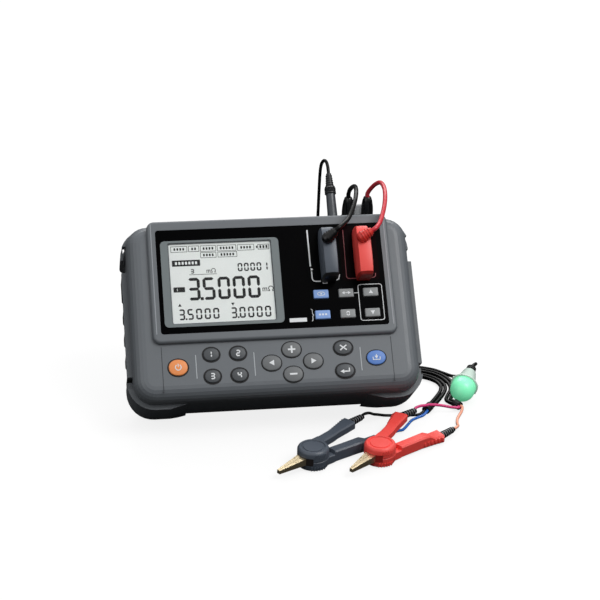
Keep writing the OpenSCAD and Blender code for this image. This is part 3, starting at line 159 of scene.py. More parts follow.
# Colour, roughness, grain, bump and variation of each plain surface
PLAIN = {
    "case_grey": ((101, 106, 111), 0.4, 1800, 0.10, 0.05),
    "case_rear_grey": ((92, 97, 102), 0.42, 1800, 0.12, 0.05),
    # Dark strips that paint the shade in the case's grooves
    "groove_painted_shade": ((58, 61, 65), 0.6),
    # Pale strips that paint the highlights on the bezel's rounded side edges
    "painted_highlight_grey": ((150, 155, 160), 0.4),
    "black_rubber": ((20, 20, 22), 0.7, 2500, 0.2),
    "display_frame": ((108, 117, 119), 0.45, 1500, 0.04),
    "print_white": ((226, 229, 231), 0.5, 900, 0.02),
    "print_grey": ((176, 181, 185), 0.5, 900, 0.02),
    "print_red": ((128, 34, 44), 0.45, 900, 0.02),
    "print_pink": ((196, 112, 126), 0.45, 900, 0.02),
    "key_orange": ((243, 146, 74), 0.42, 1800, 0.05),
    "key_dark": ((70, 74, 78), 0.45, 1800, 0.06),
    "key_mid": ((104, 107, 109), 0.45, 1800, 0.06),
    "key_blue": ((84, 130, 205), 0.42, 1800, 0.05),
    "bar_grey": ((138, 141, 142), 0.4, 1800, 0.05),
    "bar_blue": ((126, 164, 226), 0.4, 1800, 0.05),
    "key_mat": ((60, 62, 64), 0.7, 1500, 0.1),
    "slate_plastic": ((76, 84, 95), 0.36, 1600, 0.08),
    "black_plastic": ((30, 31, 34), 0.38, 1600, 0.06),
    "red_plastic": ((246, 72, 64), 0.4, 1600, 0.06),
    "red_boot": ((214, 44, 34), 0.26, 1600, 0.06),
    # Darker tones that paint the shade on the plugs' lower ends; the red one is also the red clip's window
    # colour
    "red_tip": ((150, 30, 24), 0.4, 1600, 0.06),
    "black_tip": ((14, 14, 16), 0.4, 1600, 0.06),
    "black_gloss": ((6, 6, 8), 0.2, 1600, 0.03),
    # Pale bands on the clip boots' rib crests are painted highlights
    "boot_rib_highlight": ((128, 131, 134), 0.4, 1600, 0.06),
    "clip_window": ((20, 10, 10), 0.7, 1600, 0.06),
    "cord_red": ((206, 34, 52), 0.32, 2200, 0.06),
    "cord_rubber": ((24, 24, 26), 0.6, 2000, 0.16),
    "wire_black": ((10, 10, 12), 0.36, 2200, 0.06),
    "wire_blue": ((26, 112, 214), 0.34, 2200, 0.06),
    "wire_pink": ((226, 56, 128), 0.34, 2200, 0.06),
    "wire_salmon": ((252, 172, 142), 0.36, 2200, 0.06),
    "cord_label": ((188, 190, 192), 0.6, 900, 0.04, 0.1),
    "plug_grey": ((66, 70, 76), 0.3, 1600, 0.06),
    "board_green": ((24, 92, 52), 0.4, 900, 0.05, 0.12),
    "battery_sleeve": ((74, 76, 82), 0.35, 900, 0.03),
    "stand_plastic": ((86, 90, 94), 0.5, 1800, 0.12),
}
for look, (levels, *values) in PLAIN.items():
    material(look, rgb(*levels), *values)
material("panel_black", rgb(2, 2, 3), 0.3, 900, 0.01, 0.02, rough_vary=0.02,
         Specular_IOR_Level=0.02)
material("panel_maroon", rgb(14, 1, 3), 0.3, 900, 0.01, 0.05, rough_vary=0.03,
         Specular_IOR_Level=0.02)
# The glow of the display face, its pale rim and its pale marks is painted light that brightens them in their
# recess
material("display_face", rgb(220, 221, 219), 0.6, 700, 0.02, 0.03,
         Emission_Color=rgb(222, 223, 221), Emission_Strength=0.34)
material("display_edge", rgb(232, 240, 240), 0.4, 700, 0.02, 0.03,
         Emission_Color=rgb(232, 240, 240), Emission_Strength=0.4)
material("display_segment", rgb(5, 5, 6), 0.6, 900, 0.02, Specular_IOR_Level=0.1)
clear("display_glass", (0.98, 0.99, 0.99, 1))
material("cord_black", rgb(5, 5, 6), 0.28, 2200, 0.06, Specular_IOR_Level=0.2)
material("brass_plate", (0.84, 0.70, 0.46, 1), 0.3, 1200, 0.02, 0.03, Metallic=1.0)
material("gold_contact", (0.86, 0.62, 0.28, 1), 0.24, 1200, 0.05, 0.06, Metallic=1.0)
material("steel", (0.62, 0.63, 0.65, 1), 0.32, 1200, 0.06, 0.06, (1, 1, 8), Metallic=1.0)
glowing("lamp_glow", rgb(116, 232, 174), rgb(160, 250, 208), rgb(120, 240, 180), 0.34)
material("lamp_clear_base", rgb(206, 224, 214), 0.22, 700, 0.02, 0.05,
         Emission_Color=rgb(200, 226, 212), Emission_Strength=0.12)


# Mesh helpers
OVAL_POWER, OVAL_STEPS, CORNER_STEPS, MITRE_LIMIT = 2.15, 48, 6, 0.4
# Distance at which points are one, and the radius that stands for a point on an axis
SMALL, AXIS_R = 1e-4, 1e-3


def rectangle(w, h, r, n=CORNER_STEPS):
    """Counter-clockwise points of a rectangle with round corners."""
    r = min(r, w / 2 - SMALL, h / 2 - SMALL)
    points = []
    for k, (sx, sz) in enumerate(((1, 1), (-1, 1), (-1, -1), (1, -1))):
        for i in range(n + 1):
            a = math.pi / 2 * (k + i / n)
            points.append((sx * (w / 2 - r) + r * math.cos(a), sz * (h / 2 - r) + r * math.sin(a)))
    return points


def oval(w, h):
    """Counter-clockwise points of an ellipse that is a little fuller than a true one."""
    points = []
    for i in range(OVAL_STEPS):
        a = 2 * math.pi * i / OVAL_STEPS
        c, s = (math.copysign(abs(v) ** (2 / OVAL_POWER), v) for v in (math.cos(a), math.sin(a)))
        points.append((w / 2 * c, h / 2 * s))
    return points


def arc(cx, cz, rx, rz, start, sweep, steps):
    """Points of an elliptical arc, both ends included, with its angles in degrees."""
    angles = [math.radians(start + sweep * i / steps) for i in range(steps + 1)]
    return [(cx + rx * math.cos(a), cz + rz * math.sin(a)) for a in angles]


def loft(bm, rings, close=False):
    """Skins rings of points, each with the same count, and caps both ends unless the loft is closed."""
    verts = [[bm.verts.new(p) for p in ring] for ring in rings]
    n = len(verts[0])
    pairs = list(zip(verts, verts[1:])) + ([(verts[-1], verts[0])] if close else [])
    for a, b in pairs:
        for i in range(n):
            j = (i + 1) % n
            bm.faces.new((a[i], a[j], b[j], b[i]))
    if not close:
        bm.faces.new(list(reversed(verts[0])))
        bm.faces.new(verts[-1])


def slab(bm, points, x, z, y0, y1):
    """Prism of an outline in the case's front plane, from depth y1 up to y0."""
    loft(bm, [[(x + px, y, z + pz) for px, pz in points] for y in (y1, y0)])


def stroke(bm, points, width, y0, y1, closed=False):
    """Flat line of constant width through points in the front plane."""
    n = len(points)
    rings = []
    for i in range(n):
        a = Vector(points[(i - 1) % n if closed else max(i - 1, 0)])
        b = Vector(points[(i + 1) % n if closed else min(i + 1, n - 1)])
        c = Vector(points[i])
        d0 = (c - a).normalized() if (c - a).length else (b - c).normalized()
        d1 = (b - c).normalized() if (b - c).length else d0
        t = (d0 + d1).normalized()
        side = Vector((-t.y, t.x)) * (width / 2 / max(MITRE_LIMIT, t.dot(d1)))
        left, right = c + side, c - side
        rings.append([(left.x, y0, left.y), (right.x, y0, right.y),
                      (right.x, y1, right.y), (left.x, y1, left.y)])
    loft(bm, rings, closed)


def turned(bm, profile, steps=48, at=Matrix.Identity(4)):
    """Solid of revolution about the local z axis from (radius, height) pairs."""
    circle = arc(0, 0, 1, 1, 0, 360, steps)[:-1]
    sizes = [(max(r, AXIS_R), h) for r, h in profile]
    loft(bm, [[at @ Vector((r * c, r * s, h)) for c, s in circle] for r, h in sizes])


def add_piece(name, mat, draw, body="meter", matrix=METER, sharp=32, parts=()):
    """Makes a piece that rides on a body from what draw puts into a mesh in millimetres."""
    bm = bmesh.new()
    draw(bm)
    bmesh.ops.remove_doubles(bm, verts=bm.verts, dist=SMALL)
    bmesh.ops.recalc_face_normals(bm, faces=bm.faces)
    for e in bm.edges:
        e.smooth = len(e.link_faces) == 2 and e.calc_face_angle(0) < math.radians(sharp)
    for f in bm.faces:
        f.smooth = True
    mesh = bpy.data.meshes.new(name)
    bm.transform(matrix)
    bm.to_mesh(mesh)
    bm.free()
    mesh.materials.append(M[mat])
    o = add_object(name, mesh)
    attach(o, body)
    if parts:
        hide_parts(*parts)


def add_object(name, data):
    o = bpy.data.objects.new(name, data)
    bpy.context.scene.collection.objects.link(o)
    return o


# Camera and stage
def make_camera():
    data = bpy.data.cameras.new("camera")
    data.lens = 99.35
    data.sensor_width = 36
    data.sensor_fit = "HORIZONTAL"
    data.clip_end = 20
    cam = add_object("camera", data)
    right = (0.9885, -0.1497, 0.0219)
    up = (0.0437, 0.4211, 0.9059)
    back = (-0.1448, -0.8946, 0.4228)
    m = Matrix((right, up, back)).transposed().to_4x4()
    m.translation = (-0.1376, -0.9861, 0.5292)
    cam.matrix_world = m
    bpy.context.scene.camera = cam


def show_to_camera(n, link, out, plain, seen):
    """Camera rays meet the seen shader, and all other rays the plain one."""
    path = add_node(n, "LightPath")
    mix = add_node(n, "MixShader")
    link(path.outputs["Is Camera Ray"], mix.inputs["Fac"])
    link(plain, mix.inputs[1])
    link(seen, mix.inputs[2])
    link(mix.outputs["Shader"], out.inputs["Surface"])


def make_floor():
    """Pale table. What the object receives from it stays dim, so that its underside is dark."""
    half, drop = 6, 0.0002
    mesh = bpy.data.meshes.new("floor")
    corners = [(-half, -half, 0), (half, -half, 0), (half, half, 0), (-half, half, 0)]
    mesh.from_pydata(corners, [], [(0, 1, 2, 3)])
    floor = add_object("floor", mesh)
    floor.location.z = -drop
    n, link = node_material("floor_pale")
    n.clear()
    out = add_node(n, "OutputMaterial")
    white = add_node(n, "Emission", Strength=1.04)
    pale = add_node(n, "BsdfDiffuse", Color=(0.86, 0.86, 0.86, 1))
    shown = add_node(n, "MixShader", Fac=0.8)
    link(pale.outputs["BSDF"], shown.inputs[1])
    link(white.outputs["Emission"], shown.inputs[2])
    dim = add_node(n, "BsdfDiffuse", Color=(0.04, 0.04, 0.04, 1))
    show_to_camera(n, link, out, dim.outputs["BSDF"], shown.outputs["Shader"])
    mesh.materials.append(M["floor_pale"])


def make_world():
    """White surroundings that light the object from above more than from the sides."""
    world = bpy.data.worlds.new("world")
    bpy.context.scene.world = world
    world.use_nodes = True
    n, link = world.node_tree.nodes, world.node_tree.links.new
    n.clear()
    out = add_node(n, "OutputWorld")
    coord = add_node(n, "TexCoord")
    split = add_node(n, "SeparateXYZ")
    height = add_node(n, "MapRange", From_Min=0.05, From_Max=0.8, To_Min=0.06, To_Max=0.85)
    soft, seen = add_node(n, "Background", Color=WHITE), add_node(n, "Background", Color=WHITE, Strength=1)
    link(coord.outputs["Generated"], split.inputs["Vector"])
    link(split.outputs["Z"], height.inputs["Value"])
    link(height.outputs["Result"], soft.inputs["Strength"])
    show_to_camera(n, link, out, soft.outputs["Background"], seen.outputs["Background"])


def make_light(name, at, aim, size, power):
    data = bpy.data.lights.new(name, "AREA")
    data.shape = "RECTANGLE"
    data.size, data.size_y = size
    data.energy = power
    o = add_object(name, data)
    o.location = at
    o.rotation_euler = (Vector(aim) - Vector(at)).to_track_quat("-Z", "Y").to_euler()


make_camera()
make_floor()
make_world()
make_light("key", (0.9, -0.6, 1.5), (0, 0, 0.04), (0.9, 0.9), 14)
make_light("fill", (-1.3, -1.0, 0.9), (0, 0, 0.03), (1.2, 1.0), 2.5)
make_light("back", (0.3, 1.3, 1.2), (0, 0, 0.06), (1.6, 0.6), 13)
bpy.context.scene.view_settings.view_transform = "Standard"


# Cords
CORD_ROUNDNESS = 3


def smooth(points, per=5):
    """Catmull-Rom line through the route's points."""
    p = [Vector(q) for q in points]
    out = []
    for i in range(len(p) - 1):
        a, b, c, d = p[max(i - 1, 0)], p[i], p[i + 1], p[min(i + 2, len(p) - 1)]
        for k in range(per):
            t = k / per
            bend, twist = 2 * a - 5 * b + 4 * c - d, 3 * b - a - 3 * c + d
            out.append(0.5 * (2 * b + (c - a) * t + bend * t * t + twist * t ** 3))
    return out + [p[-1]]


def beside(points, gap):
    """Line that runs beside another one at the same height."""
    out = []
    for i, p in enumerate(points):
        way = points[min(i + 1, len(points) - 1)] - points[max(i - 1, 0)]
        out.append(p + gap * Vector((-way.y, way.x, 0)).normalized())
    return out


def metres(point):
    return [c * MM for c in point]


def tube(name, points, d, mat, nodes=(), follow=None):
    """Free cord along points in millimetres. Where follow is given, the cord becomes a mesh that rides on no
    body; the body and ends in follow are not used.
    """
    data = bpy.data.curves.new(name, "CURVE")
    data.dimensions = "3D"
    s = data.splines.new("POLY")
    s.points.add(len(points) - 1)
    for q, p in zip(s.points, points):
        q.co = (*metres(p), 1)
    data.bevel_depth = d * MM / 2
    data.bevel_resolution = CORD_ROUNDNESS
    data.use_fill_caps = True
    o = add_object(name, data)
    data.materials.append(M[mat])
    if follow:
        bpy.context.view_layer.update()
        mesh = bpy.data.meshes.new_from_object(o)
        bpy.data.objects.remove(o)
        o = add_object(name, mesh)
        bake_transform(o)
    else:
        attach(o, "meter")
    if nodes:
        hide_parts(*nodes)


# Diameters, how far apart the strands of a branch lie, and the gap between a coil's turns
SHORT_D, MAIN_D, STRAND_D, STRAND_GAP, WIRE_D, LAMP_D, COIL_GAP = 3, 5, 2.7, 2.9, 1.9, 2.3, 0.45
# Centre, radius, cord, loops and layers of each coil
MAIN_COIL = ((75, 117), 33.5, MAIN_D, 2.5, 2)
LAMP_COIL = ((10, 100), 18.1, LAMP_D, 12.5, 4)
BLACK_LEAD = [
    (41.4, -19.1, 120.6), (43.4, -18.8, 122.3), (47, -14.6, 123.2), (51.5, -8, 124.3), (55.7, 1, 127.3),
    (58.9, 10, 130), (61.2, 20, 131.7), (62.4, 30, 130.9), (62.3, 38.6, 127.4), (61.7, 44.6, 123),
    (61.4, 47.5, 119), (61.4, 47.5, 116.3)]
RED_LEAD = [
    (64.9, -19, 119.4), (67.4, -18.6, 120.9), (70.8, -13, 121.7), (73.9, -6, 124), (77.3, 4, 127.4),
    (79.6, 14, 130.5), (80.7, 24, 132.2), (80.1, 33, 132), (78.3, 40.5, 128), (76.2, 45.6, 122.8),
    (74.6, 47.5, 118.8), (74.6, 47.5, 116.3)]
MAIN_DOWN = [
    (68, 47.5, 76), (68, 47.5, 70), (68, 48.5, 59), (68, 50.5, 47), (68, 53.5, 35), (68.6, 57.5, 23.5),
    (71, 63, 12.5), (76, 69.5, 5), (84, 75.5, 2.5), (93, 81, 2.5), (101, 87.5, 2.5), (106.5, 95.5, 2.5),
    (108.5, 104.5, 2.5), (108.5, 112, 2.5)]
MAIN_BACK = [
    (41.5, 112, 8), (41.5, 106, 7.6), (40.8, 98, 6), (41, 89, 4), (42.4, 80, 2.8), (44.4, 70, 2.5),
    (46, 60, 2.5), (46.6, 49, 2.5), (46.4, 38, 2.5), (46, 28, 2.5), (47, 19, 2.6), (50.6, 12.2, 3.2),
    (56, 8.4, 3.8), (62, 7.5, 4)]
BLACK_BRANCH = [
    (82, 4.5, 4), (86, 4.5, 3), (92, 4.2, 1.8), (97.4, 3.4, 1.5), (102.6, 2.1, 1.5), (108.4, -0.4, 1.5),
    (113.8, -4.4, 1.5), (117.8, -9.8, 1.5), (119.2, -15.4, 1.5), (118.6, -20.4, 1.5), (116.4, -25.8, 1.5),
    (112.4, -32.6, 1.6), (107.4, -40.6, 2.2), (103.8, -45.6, 3)]
RED_BRANCH = [
    (82, 10.5, 4), (86, 10.5, 3), (92, 10.4, 1.8), (98, 10.2, 1.5), (104.2, 9, 1.5), (110.8, 6.6, 1.5),
    (116.8, 2.8, 1.5), (121.4, -2.4, 1.5), (124.6, -9.4, 1.5), (125.6, -16.6, 1.5), (124.4, -23.4, 1.5),
    (121.2, -29.8, 1.5), (118.6, -35.6, 1.6), (119, -39.8, 2.2), (121, -43.8, 3)]
BLACK_WIRE = [
    (98.9, -50.7, 3), (97.8, -52.3, 2.6), (94.8, -53.6, 1.4), (90, -53.4, 1), (84, -52.6, 1),
    (78, -52.4, 1), (72, -52.8, 1.6), (66.4, -54.9, 3.7), (62.8, -59.1, 6.5), (59.4, -61.1, 8.7),
    (55.9, -63.4, 9.5), (53.8, -65.6, 9.5)]
BLUE_WIRE = [
    (100.5, -51.9, 3), (99.4, -53.6, 2.6), (96.8, -55.6, 1.6), (92.6, -57.2, 1), (88.4, -60.2, 1),
    (85, -65, 1), (82, -69.4, 1), (79.4, -73, 1.5), (76.6, -75.6, 2.7), (73.2, -78.1, 3.3),
    (70.6, -80.1, 3.3)]
PINK_WIRE = [
    (122.3, -48.7, 3), (122.3, -49.9, 3), (120.2, -50.6, 3.3), (115.8, -50.2, 3.9), (111.2, -50, 5),
    (106.6, -50.8, 6.2), (101.8, -52.2, 7.4), (97.6, -54.6, 8.4), (94.6, -56.2, 9.1), (91.2, -58.7, 9.5),
    (89.5, -61.2, 9.5)]
SALMON_WIRE = [
    (124.1, -47.8, 3), (124.8, -49.4, 2.6), (123.6, -52.6, 1.4), (121.4, -56.4, 1), (118.8, -61.4, 1),
    (117.2, -66.8, 1.1), (116.4, -72.4, 2.1), (114.4, -76.4, 3.3), (112.2, -78.4, 3.3)]
LAMP_DOWN = [
    (48, 52.5, 132.4), (48, 54.6, 134.7), (47.7, 56.4, 137.2), (47, 58.5, 138.9), (46, 60.7, 138.6),
    (45, 62.5, 136.2), (44.4, 63.6, 132.4), (44.1, 64.1, 126), (43.9, 64.3, 116), (43.7, 64.4, 103),
    (43.5, 64.4, 89), (43.2, 64.5, 75), (42.8, 64.7, 61), (42.2, 65.2, 47), (41.2, 66.4, 34),
    (39.6, 68.8, 22), (37.2, 72.8, 11.6), (34.2, 78, 5), (31.4, 84, 1.8), (29, 91, 1.2), (28.1, 97.7, 1.2)]
LAMP_BACK = [
    (-8.1, 97.7, 9.4), (-8.1, 92, 8.8), (-7.2, 86, 6.8), (-4.6, 80.6, 4.4), (0, 76.8, 2.4),
    (6.6, 75.2, 1.3), (14, 75, 1.2), (22, 74.6, 1.2), (29, 72.4, 1.2), (34, 67.6, 1.2), (36.4, 61, 1.2),
    (37.2, 53.4, 1.6), (39.6, 47.2, 3.8), (43.2, 43, 6.1), (47.6, 39.8, 6.8), (52, 36.6, 5),
    (56, 32.4, 2.4), (60, 27.6, 1.3), (66, 22.8, 1.2), (74, 19.4, 1.2), (83, 17.4, 1.2), (93, 16.2, 1.2),
    (102.4, 14.8, 1.2), (110.8, 12.2, 1.2), (118.6, 8, 1.2), (124.6, 2, 1.2), (129.6, -2.6, 1.2),
    (134.6, -4.6, 2.4), (139.2, -4.4, 5.4), (142.6, -5.2, 9.2), (143.8, -7.6, 12.4), (142.6, -10.4, 13.8),
    (140.4, -12.7, 13.8), (139.1, -15, 13.3)]


def coil(at, r, d, loops, layers, per_loop=24):
    """The same layered spiral as the coil solids."""
    per, pitch, out = loops / layers, d + COIL_GAP, []
    for i in range(int(loops * per_loop) + 1):
        t = i / per_loop
        layer = min(layers - 1, math.floor(t / per))
        f = t / per - layer
        radius = r - pitch * per * (f if layer % 2 == 0 else 1 - f)
        level = sum(min(1, max(0, (t - m * per) * 2 + 0.5)) for m in range(1, layers))
        a = 2 * math.pi * t
        x, y = at[0] + radius * math.cos(a), at[1] + radius * math.sin(a)
        out.append(Vector((x, y, d / 2 + pitch * level)))
    return out


def coiled(down, turns, back):
    """Down to the coil, round it, and away from it, without doubled points."""
    return smooth(down)[:-1] + turns + smooth(back)[1:]


tube("lead_short_black", smooth(BLACK_LEAD), SHORT_D, "cord_black", ["short_leads"])
tube("lead_short_red", smooth(RED_LEAD), SHORT_D, "cord_red")
tube("main_lead", coiled(MAIN_DOWN, coil(*MAIN_COIL), MAIN_BACK), MAIN_D, "cord_black",
     ["main_cable", "main_cable_coil"])
for colour, route, nodes in (("black", BLACK_BRANCH, ["branch_cords"]), ("red", RED_BRANCH, [])):
    tube(f"branch_{colour}_inner", beside(smooth(route), -STRAND_GAP / 2), STRAND_D, "cord_black", nodes)
    tube(f"branch_{colour}_outer", beside(smooth(route), STRAND_GAP / 2), STRAND_D, "cord_black")
for colour, route, nodes, follow in (
        ("black", BLACK_WIRE, ["clip_wires"], ("black_lever", BLACK_WIRE[4], BLACK_WIRE[-3])),
        ("blue", BLUE_WIRE, [], None),
        ("pink", PINK_WIRE, [], ("red_lever", PINK_WIRE[3], PINK_WIRE[-3])),
        ("salmon", SALMON_WIRE, [], None)):
    tube(f"wire_{colour}", smooth(route), WIRE_D, f"wire_{colour}", nodes,
         follow=follow)
tube("lamp_lead", coiled(LAMP_DOWN, coil(*LAMP_COIL), LAMP_BACK), LAMP_D, "cord_black",
     ["lamp_cord", "lamp_cord_coil"])


# CAD nodes that stay
NODE_LOOKS = {
    "case_grey": ["front_cover"], "case_rear_grey": ["rear_case", "battery_cover"],
    "black_rubber": ["side_grip_left", "side_grip_right", "usb_cover"], "panel_black": ["panel_sheet"],
    "display_frame": ["lcd_frame"], "display_glass": ["lcd_window"], "display_face": ["lcd_module"],
    "board_green": ["main_board"], "key_mat": ["keypad_mat"], "gold_contact": ["terminal_sockets"],
    "black_plastic": ["top_sockets"], "battery_sleeve": ["batteries"], "stand_plastic": ["tilt_stand"],
    "steel": ["battery_contacts", "case_screws", "clip_pins", "clip_springs"],
    "brass_plate": ["clip_base_jaws", "clip_black_lever_jaw", "clip_red_lever_jaw"],
    "cord_rubber": ["branch_junction", "branch_sleeves"]}

for look, names in NODE_LOOKS.items():
    for name in names:
        slots = NODE[name].data.materials
        slots.clear()
        slots.append(M[look])


# Flat marks. Each call gives a function that draws the mark at a place, between two depths
SEGMENTS = {"0": "abcdef", "1": "bc", "2": "abged", "3": "abgcd", "4": "fgbc", "5": "afgcd"}
# How far a stroke that crosses another one stands above it
OVER = 0.004


def line(points, width, closed=False, lift=0):
    def draw(bm, x, z, y0, y1):
        stroke(bm, [(x + a, z + b) for a, b in points], width, y0 - lift, y1, closed)
    return draw


def block(w, h, r, cx=0, cz=0, n=CORNER_STEPS, lift=0):
    return lambda bm, x, z, y0, y1: slab(bm, rectangle(w, h, r, n), x + cx, z + cz, y0 - lift, y1)


def arrow(size, way, cx=0, cz=0, lift=0):
    """Triangle that points to an angle in degrees."""
    tip, tail, wing = 0.55 * size, -0.42 * size, 0.55 * size
    c, s = math.cos(math.radians(way)), math.sin(math.radians(way))
    points = [(p * c - q * s, p * s + q * c) for p, q in ((tip, 0), (tail, wing), (tail, -wing))]
    return lambda bm, x, z, y0, y1: slab(bm, points, x + cx, z + cz, y0 - lift, y1)


def segment(name, w, h, t):
    """Six-sided bar of one figure, with a small gap g to its neighbours."""
    g, half, k = t * 0.18, h / 2, t / 2
    if name in "agd":
        z = {"a": h - k, "g": half, "d": k}[name]
        x0, x1 = t * 0.2 + g, w - t * 0.2 - g
        return [(x0, z), (x0 + k, z + k), (x1 - k, z + k), (x1, z), (x1 - k, z - k), (x0 + k, z - k)]
    x = k if name in "fe" else w - k
    z0, z1 = (half + g, h - g * 2) if name in "fb" else (g * 2, half - g)
    return [(x, z1), (x - k, z1 - k), (x - k, z0 + k), (x, z0), (x + k, z0 + k), (x + k, z1 - k)]


def figures(text, x0, z0, w, h, t, gap=0):
    """Seven-segment figures with bars of width t. A dot takes no width of its own."""
    def draw(bm, x, z, y0, y1):
        at = x + x0
        for ch in text:
            if ch == ".":
                slab(bm, rectangle(t * 1.05, t * 1.05, t * 0.2, 2), at - gap / 2, z + z0 + t / 2, y0, y1)
                continue
            for name in SEGMENTS[ch]:
                slab(bm, segment(name, w, h, t), at, z + z0, y0, y1)
            at += w + gap
    return draw


def add_marks(name, mat, marks, depths, body="meter", x=0, z=0):
    """One piece with all the marks, in front of the place (x, z)."""
    def draw(bm):
        for mark in marks:
            mark(bm, x, z, *depths)
    add_piece(name, mat, draw, body, sharp=20)


# Keys
CASE_W, CASE_H, PANEL_W, PANEL_H = 185, 117.5, 147.4, 69.8
BUMPER, BEZEL_OVER, BEZEL_H, PANEL_RIM = 3, 0.5, 82, 6.4
BEZEL_Z1 = BUMPER + CASE_H + BEZEL_OVER
PANEL_Z1 = BEZEL_Z1 - PANEL_RIM
PANEL_Z0 = PANEL_Z1 - PANEL_H
FACE_H = BEZEL_Z1 - BEZEL_H - BUMPER
PANEL_Y, FACE_Y, COVER_WALL = 0.15, 3, 2.4
BAR_W, BAR_H, BAR_CORNER, BAR_DOME = 9.8, 5.8, 0.7, 0.1
OVAL_DOME, FOOT_CUT = 0.35, 0.6
KEY_RISE, KEY_ROUND, KEY_SHOULDER = 1.3, 0.6, 0.75
FLANGE, FLANGE_T, FLANGE_Y = 1.0, 1.2, FACE_Y + COVER_WALL + 0.2
# Centre of each key on the panel, as shares of the panel
BARS = {"key_view": (0.2085, 0.317), "key_mode": (0.2085, 0.118), "key_auto": (0.32, 0.317),
        "key_zero": (0.32, 0.118), "key_range_up": (0.4295, 0.317), "key_range_down": (0.4295, 0.118)}
# Centre as shares of the lower face, width, and height as a share of that face
OVALS = {"key_power": (-0.3464, 0.568, 13, 0.3178), "key_compare": (-0.2305, 0.776, 11.2, 0.2694),
         "key_panel": (-0.138, 0.776, 11.2, 0.2694), "key_temperature": (-0.2305, 0.378, 11.2, 0.2694),
         "key_average": (-0.138, 0.378, 11.2, 0.2694), "key_left": (-0.024, 0.568, 12.8, 0.2951),
         "key_plus": (0.048, 0.796, 12.8, 0.2951), "key_minus": (0.048, 0.346, 12.8, 0.2951),
         "key_right": (0.1208, 0.568, 12.8, 0.2951), "key_escape": (0.229, 0.784, 12.8, 0.2809),
         "key_enter": (0.229, 0.362, 12.8, 0.2809), "key_store": (0.3424, 0.575, 12.8, 0.2809)}
KEY_LOOK = {"key_power": "key_orange", "key_store": "key_blue", "key_left": "key_mid", "key_plus": "key_mid",
            "key_minus": "key_mid", "key_right": "key_mid", "key_view": "bar_blue", "key_mode": "bar_blue"}
SIGN_UP, SIGN_DOWN = 0.05, 0.5
NUMBER = (-2.1, 2.8, 4.2, 0.82)
SIGNS = {
    "key_power": [line(arc(0, 0, 1.85, 1.85, 125, 290, 18), 0.55), block(0.55, 2.2, 0.2, cz=1.3)],
    "key_compare": [figures("1", -2.4, *NUMBER)],
    "key_panel": [figures("2", -1.4, *NUMBER)],
    "key_temperature": [figures("3", -1.4, *NUMBER)],
    "key_average": [figures("4", -1.4, *NUMBER)],
    "key_left": [arrow(3.4, 180)],
    "key_plus": [block(4.8, 1.15, 0.15), block(1.15, 4.8, 0.15, lift=OVER)],
    "key_minus": [block(4.8, 1.15, 0.15)],
    "key_right": [arrow(3.4, 0)],
    "key_escape": [line([(-2.1, -1.6 * s), (2.1, 1.6 * s)], 0.8, lift=OVER / 2 * s) for s in (-1, 1)],
    "key_enter": [line([(2.6, 1.6), (2.6, -0.6), (-1.2, -0.6)], 0.8), arrow(2.5, 180, -1.9, -0.6, OVER)],
    "key_store": [line([(-2.3, 0.3), (-2.3, -1.5), (2.3, -1.5), (2.3, 0.3)], 0.5),
                  arrow(2.0, -90, 0, 0.1, OVER), block(0.55, 1.2, 0.1, cz=1.4)],
    "key_view": [line(arc(0, 0, 2.4, 1.15, 0, 360, 24)[:-1], 0.4, closed=True), block(1.1, 1.1, 0.5)],
    "key_mode": [block(1.2, 1.2, 0.2, 2.0 * i) for i in (-1, 0, 1)],
    "key_auto": [arrow(1.9, 180, -1.9), arrow(1.9, 0, 1.9), block(2.6, 0.45, 0.1)],
    "key_zero": [figures("0", -1.1, -1.5, 2.2, 3.0, 0.62)],
    "key_range_up": [arrow(2.7, 90)],
    "key_range_down": [arrow(2.7, -90)],
}


def key_place(name):
    """Centre, width and height of a key's opening."""
    if name in BARS:
        cx, cz = BARS[name]
        return PANEL_W * cx, PANEL_Z0 + PANEL_H * cz, BAR_W, BAR_H
    cx, cz, w, share = OVALS[name]
    return CASE_W * cx, BUMPER + FACE_H * cz, w, FACE_H * share


def key_gap(name):
    """How much of an oval key's place its dark ring takes, across both sides. The ring is the dark gap round
    the key with painted shade in it.
    """
    return {"key_dark": 1.3, "key_orange": 1.0}.get(KEY_LOOK.get(name, "key_dark"), 0.6)


def make_key(name):
    """Cap with a round edge and a low dome above its hidden flange, and the sign on it."""
    x, z, w, h = key_place(name)
    bar = name in BARS
    look = KEY_LOOK.get(name, "bar_grey" if bar else "key_dark")
    top, dome = (PANEL_Y - KEY_RISE, BAR_DOME) if bar else (FACE_Y - KEY_RISE, OVAL_DOME)
    if not bar:
        w, h = w - key_gap(name), h - key_gap(name)

    def shape(inset):
        size = w - 2 * inset, h - 2 * inset
        return rectangle(*size, max(0.5, BAR_CORNER - max(0, inset))) if bar else oval(*size)

    side, rim, foot = shape(0), shape(KEY_ROUND), shape(-FLANGE)
    if not bar:
        foot = [(p, max(q, FOOT_CUT - h / 2)) for p, q in foot]
    levels = [(foot, FLANGE_Y + FLANGE_T), (foot, FLANGE_Y), (side, FLANGE_Y),
              (side, top + dome + KEY_SHOULDER)]
    for a in (22, 45, 68, 90):
        c, s = math.cos(math.radians(a)), math.sin(math.radians(a))
        levels.append((shape(KEY_ROUND * (1 - c)), top + dome + KEY_ROUND * (1 - s)))
    for s in (0.75, 0.5, 0.25):
        levels.append(([(p * s, q * s) for p, q in rim], top + dome * s * s))
    cap = name + "_cap"
    rings = [[(x + p, y, z + q) for p, q in points] for points, y in levels]
    add_piece(cap, look, lambda bm: loft(bm, rings), cap, sharp=40, parts=[name])
    add_marks(name + "_sign", "print_white", SIGNS[name], (top - SIGN_UP, top + SIGN_DOWN), body=cap,
              x=x, z=z)


for key in [*BARS, *OVALS]:
    make_key(key)


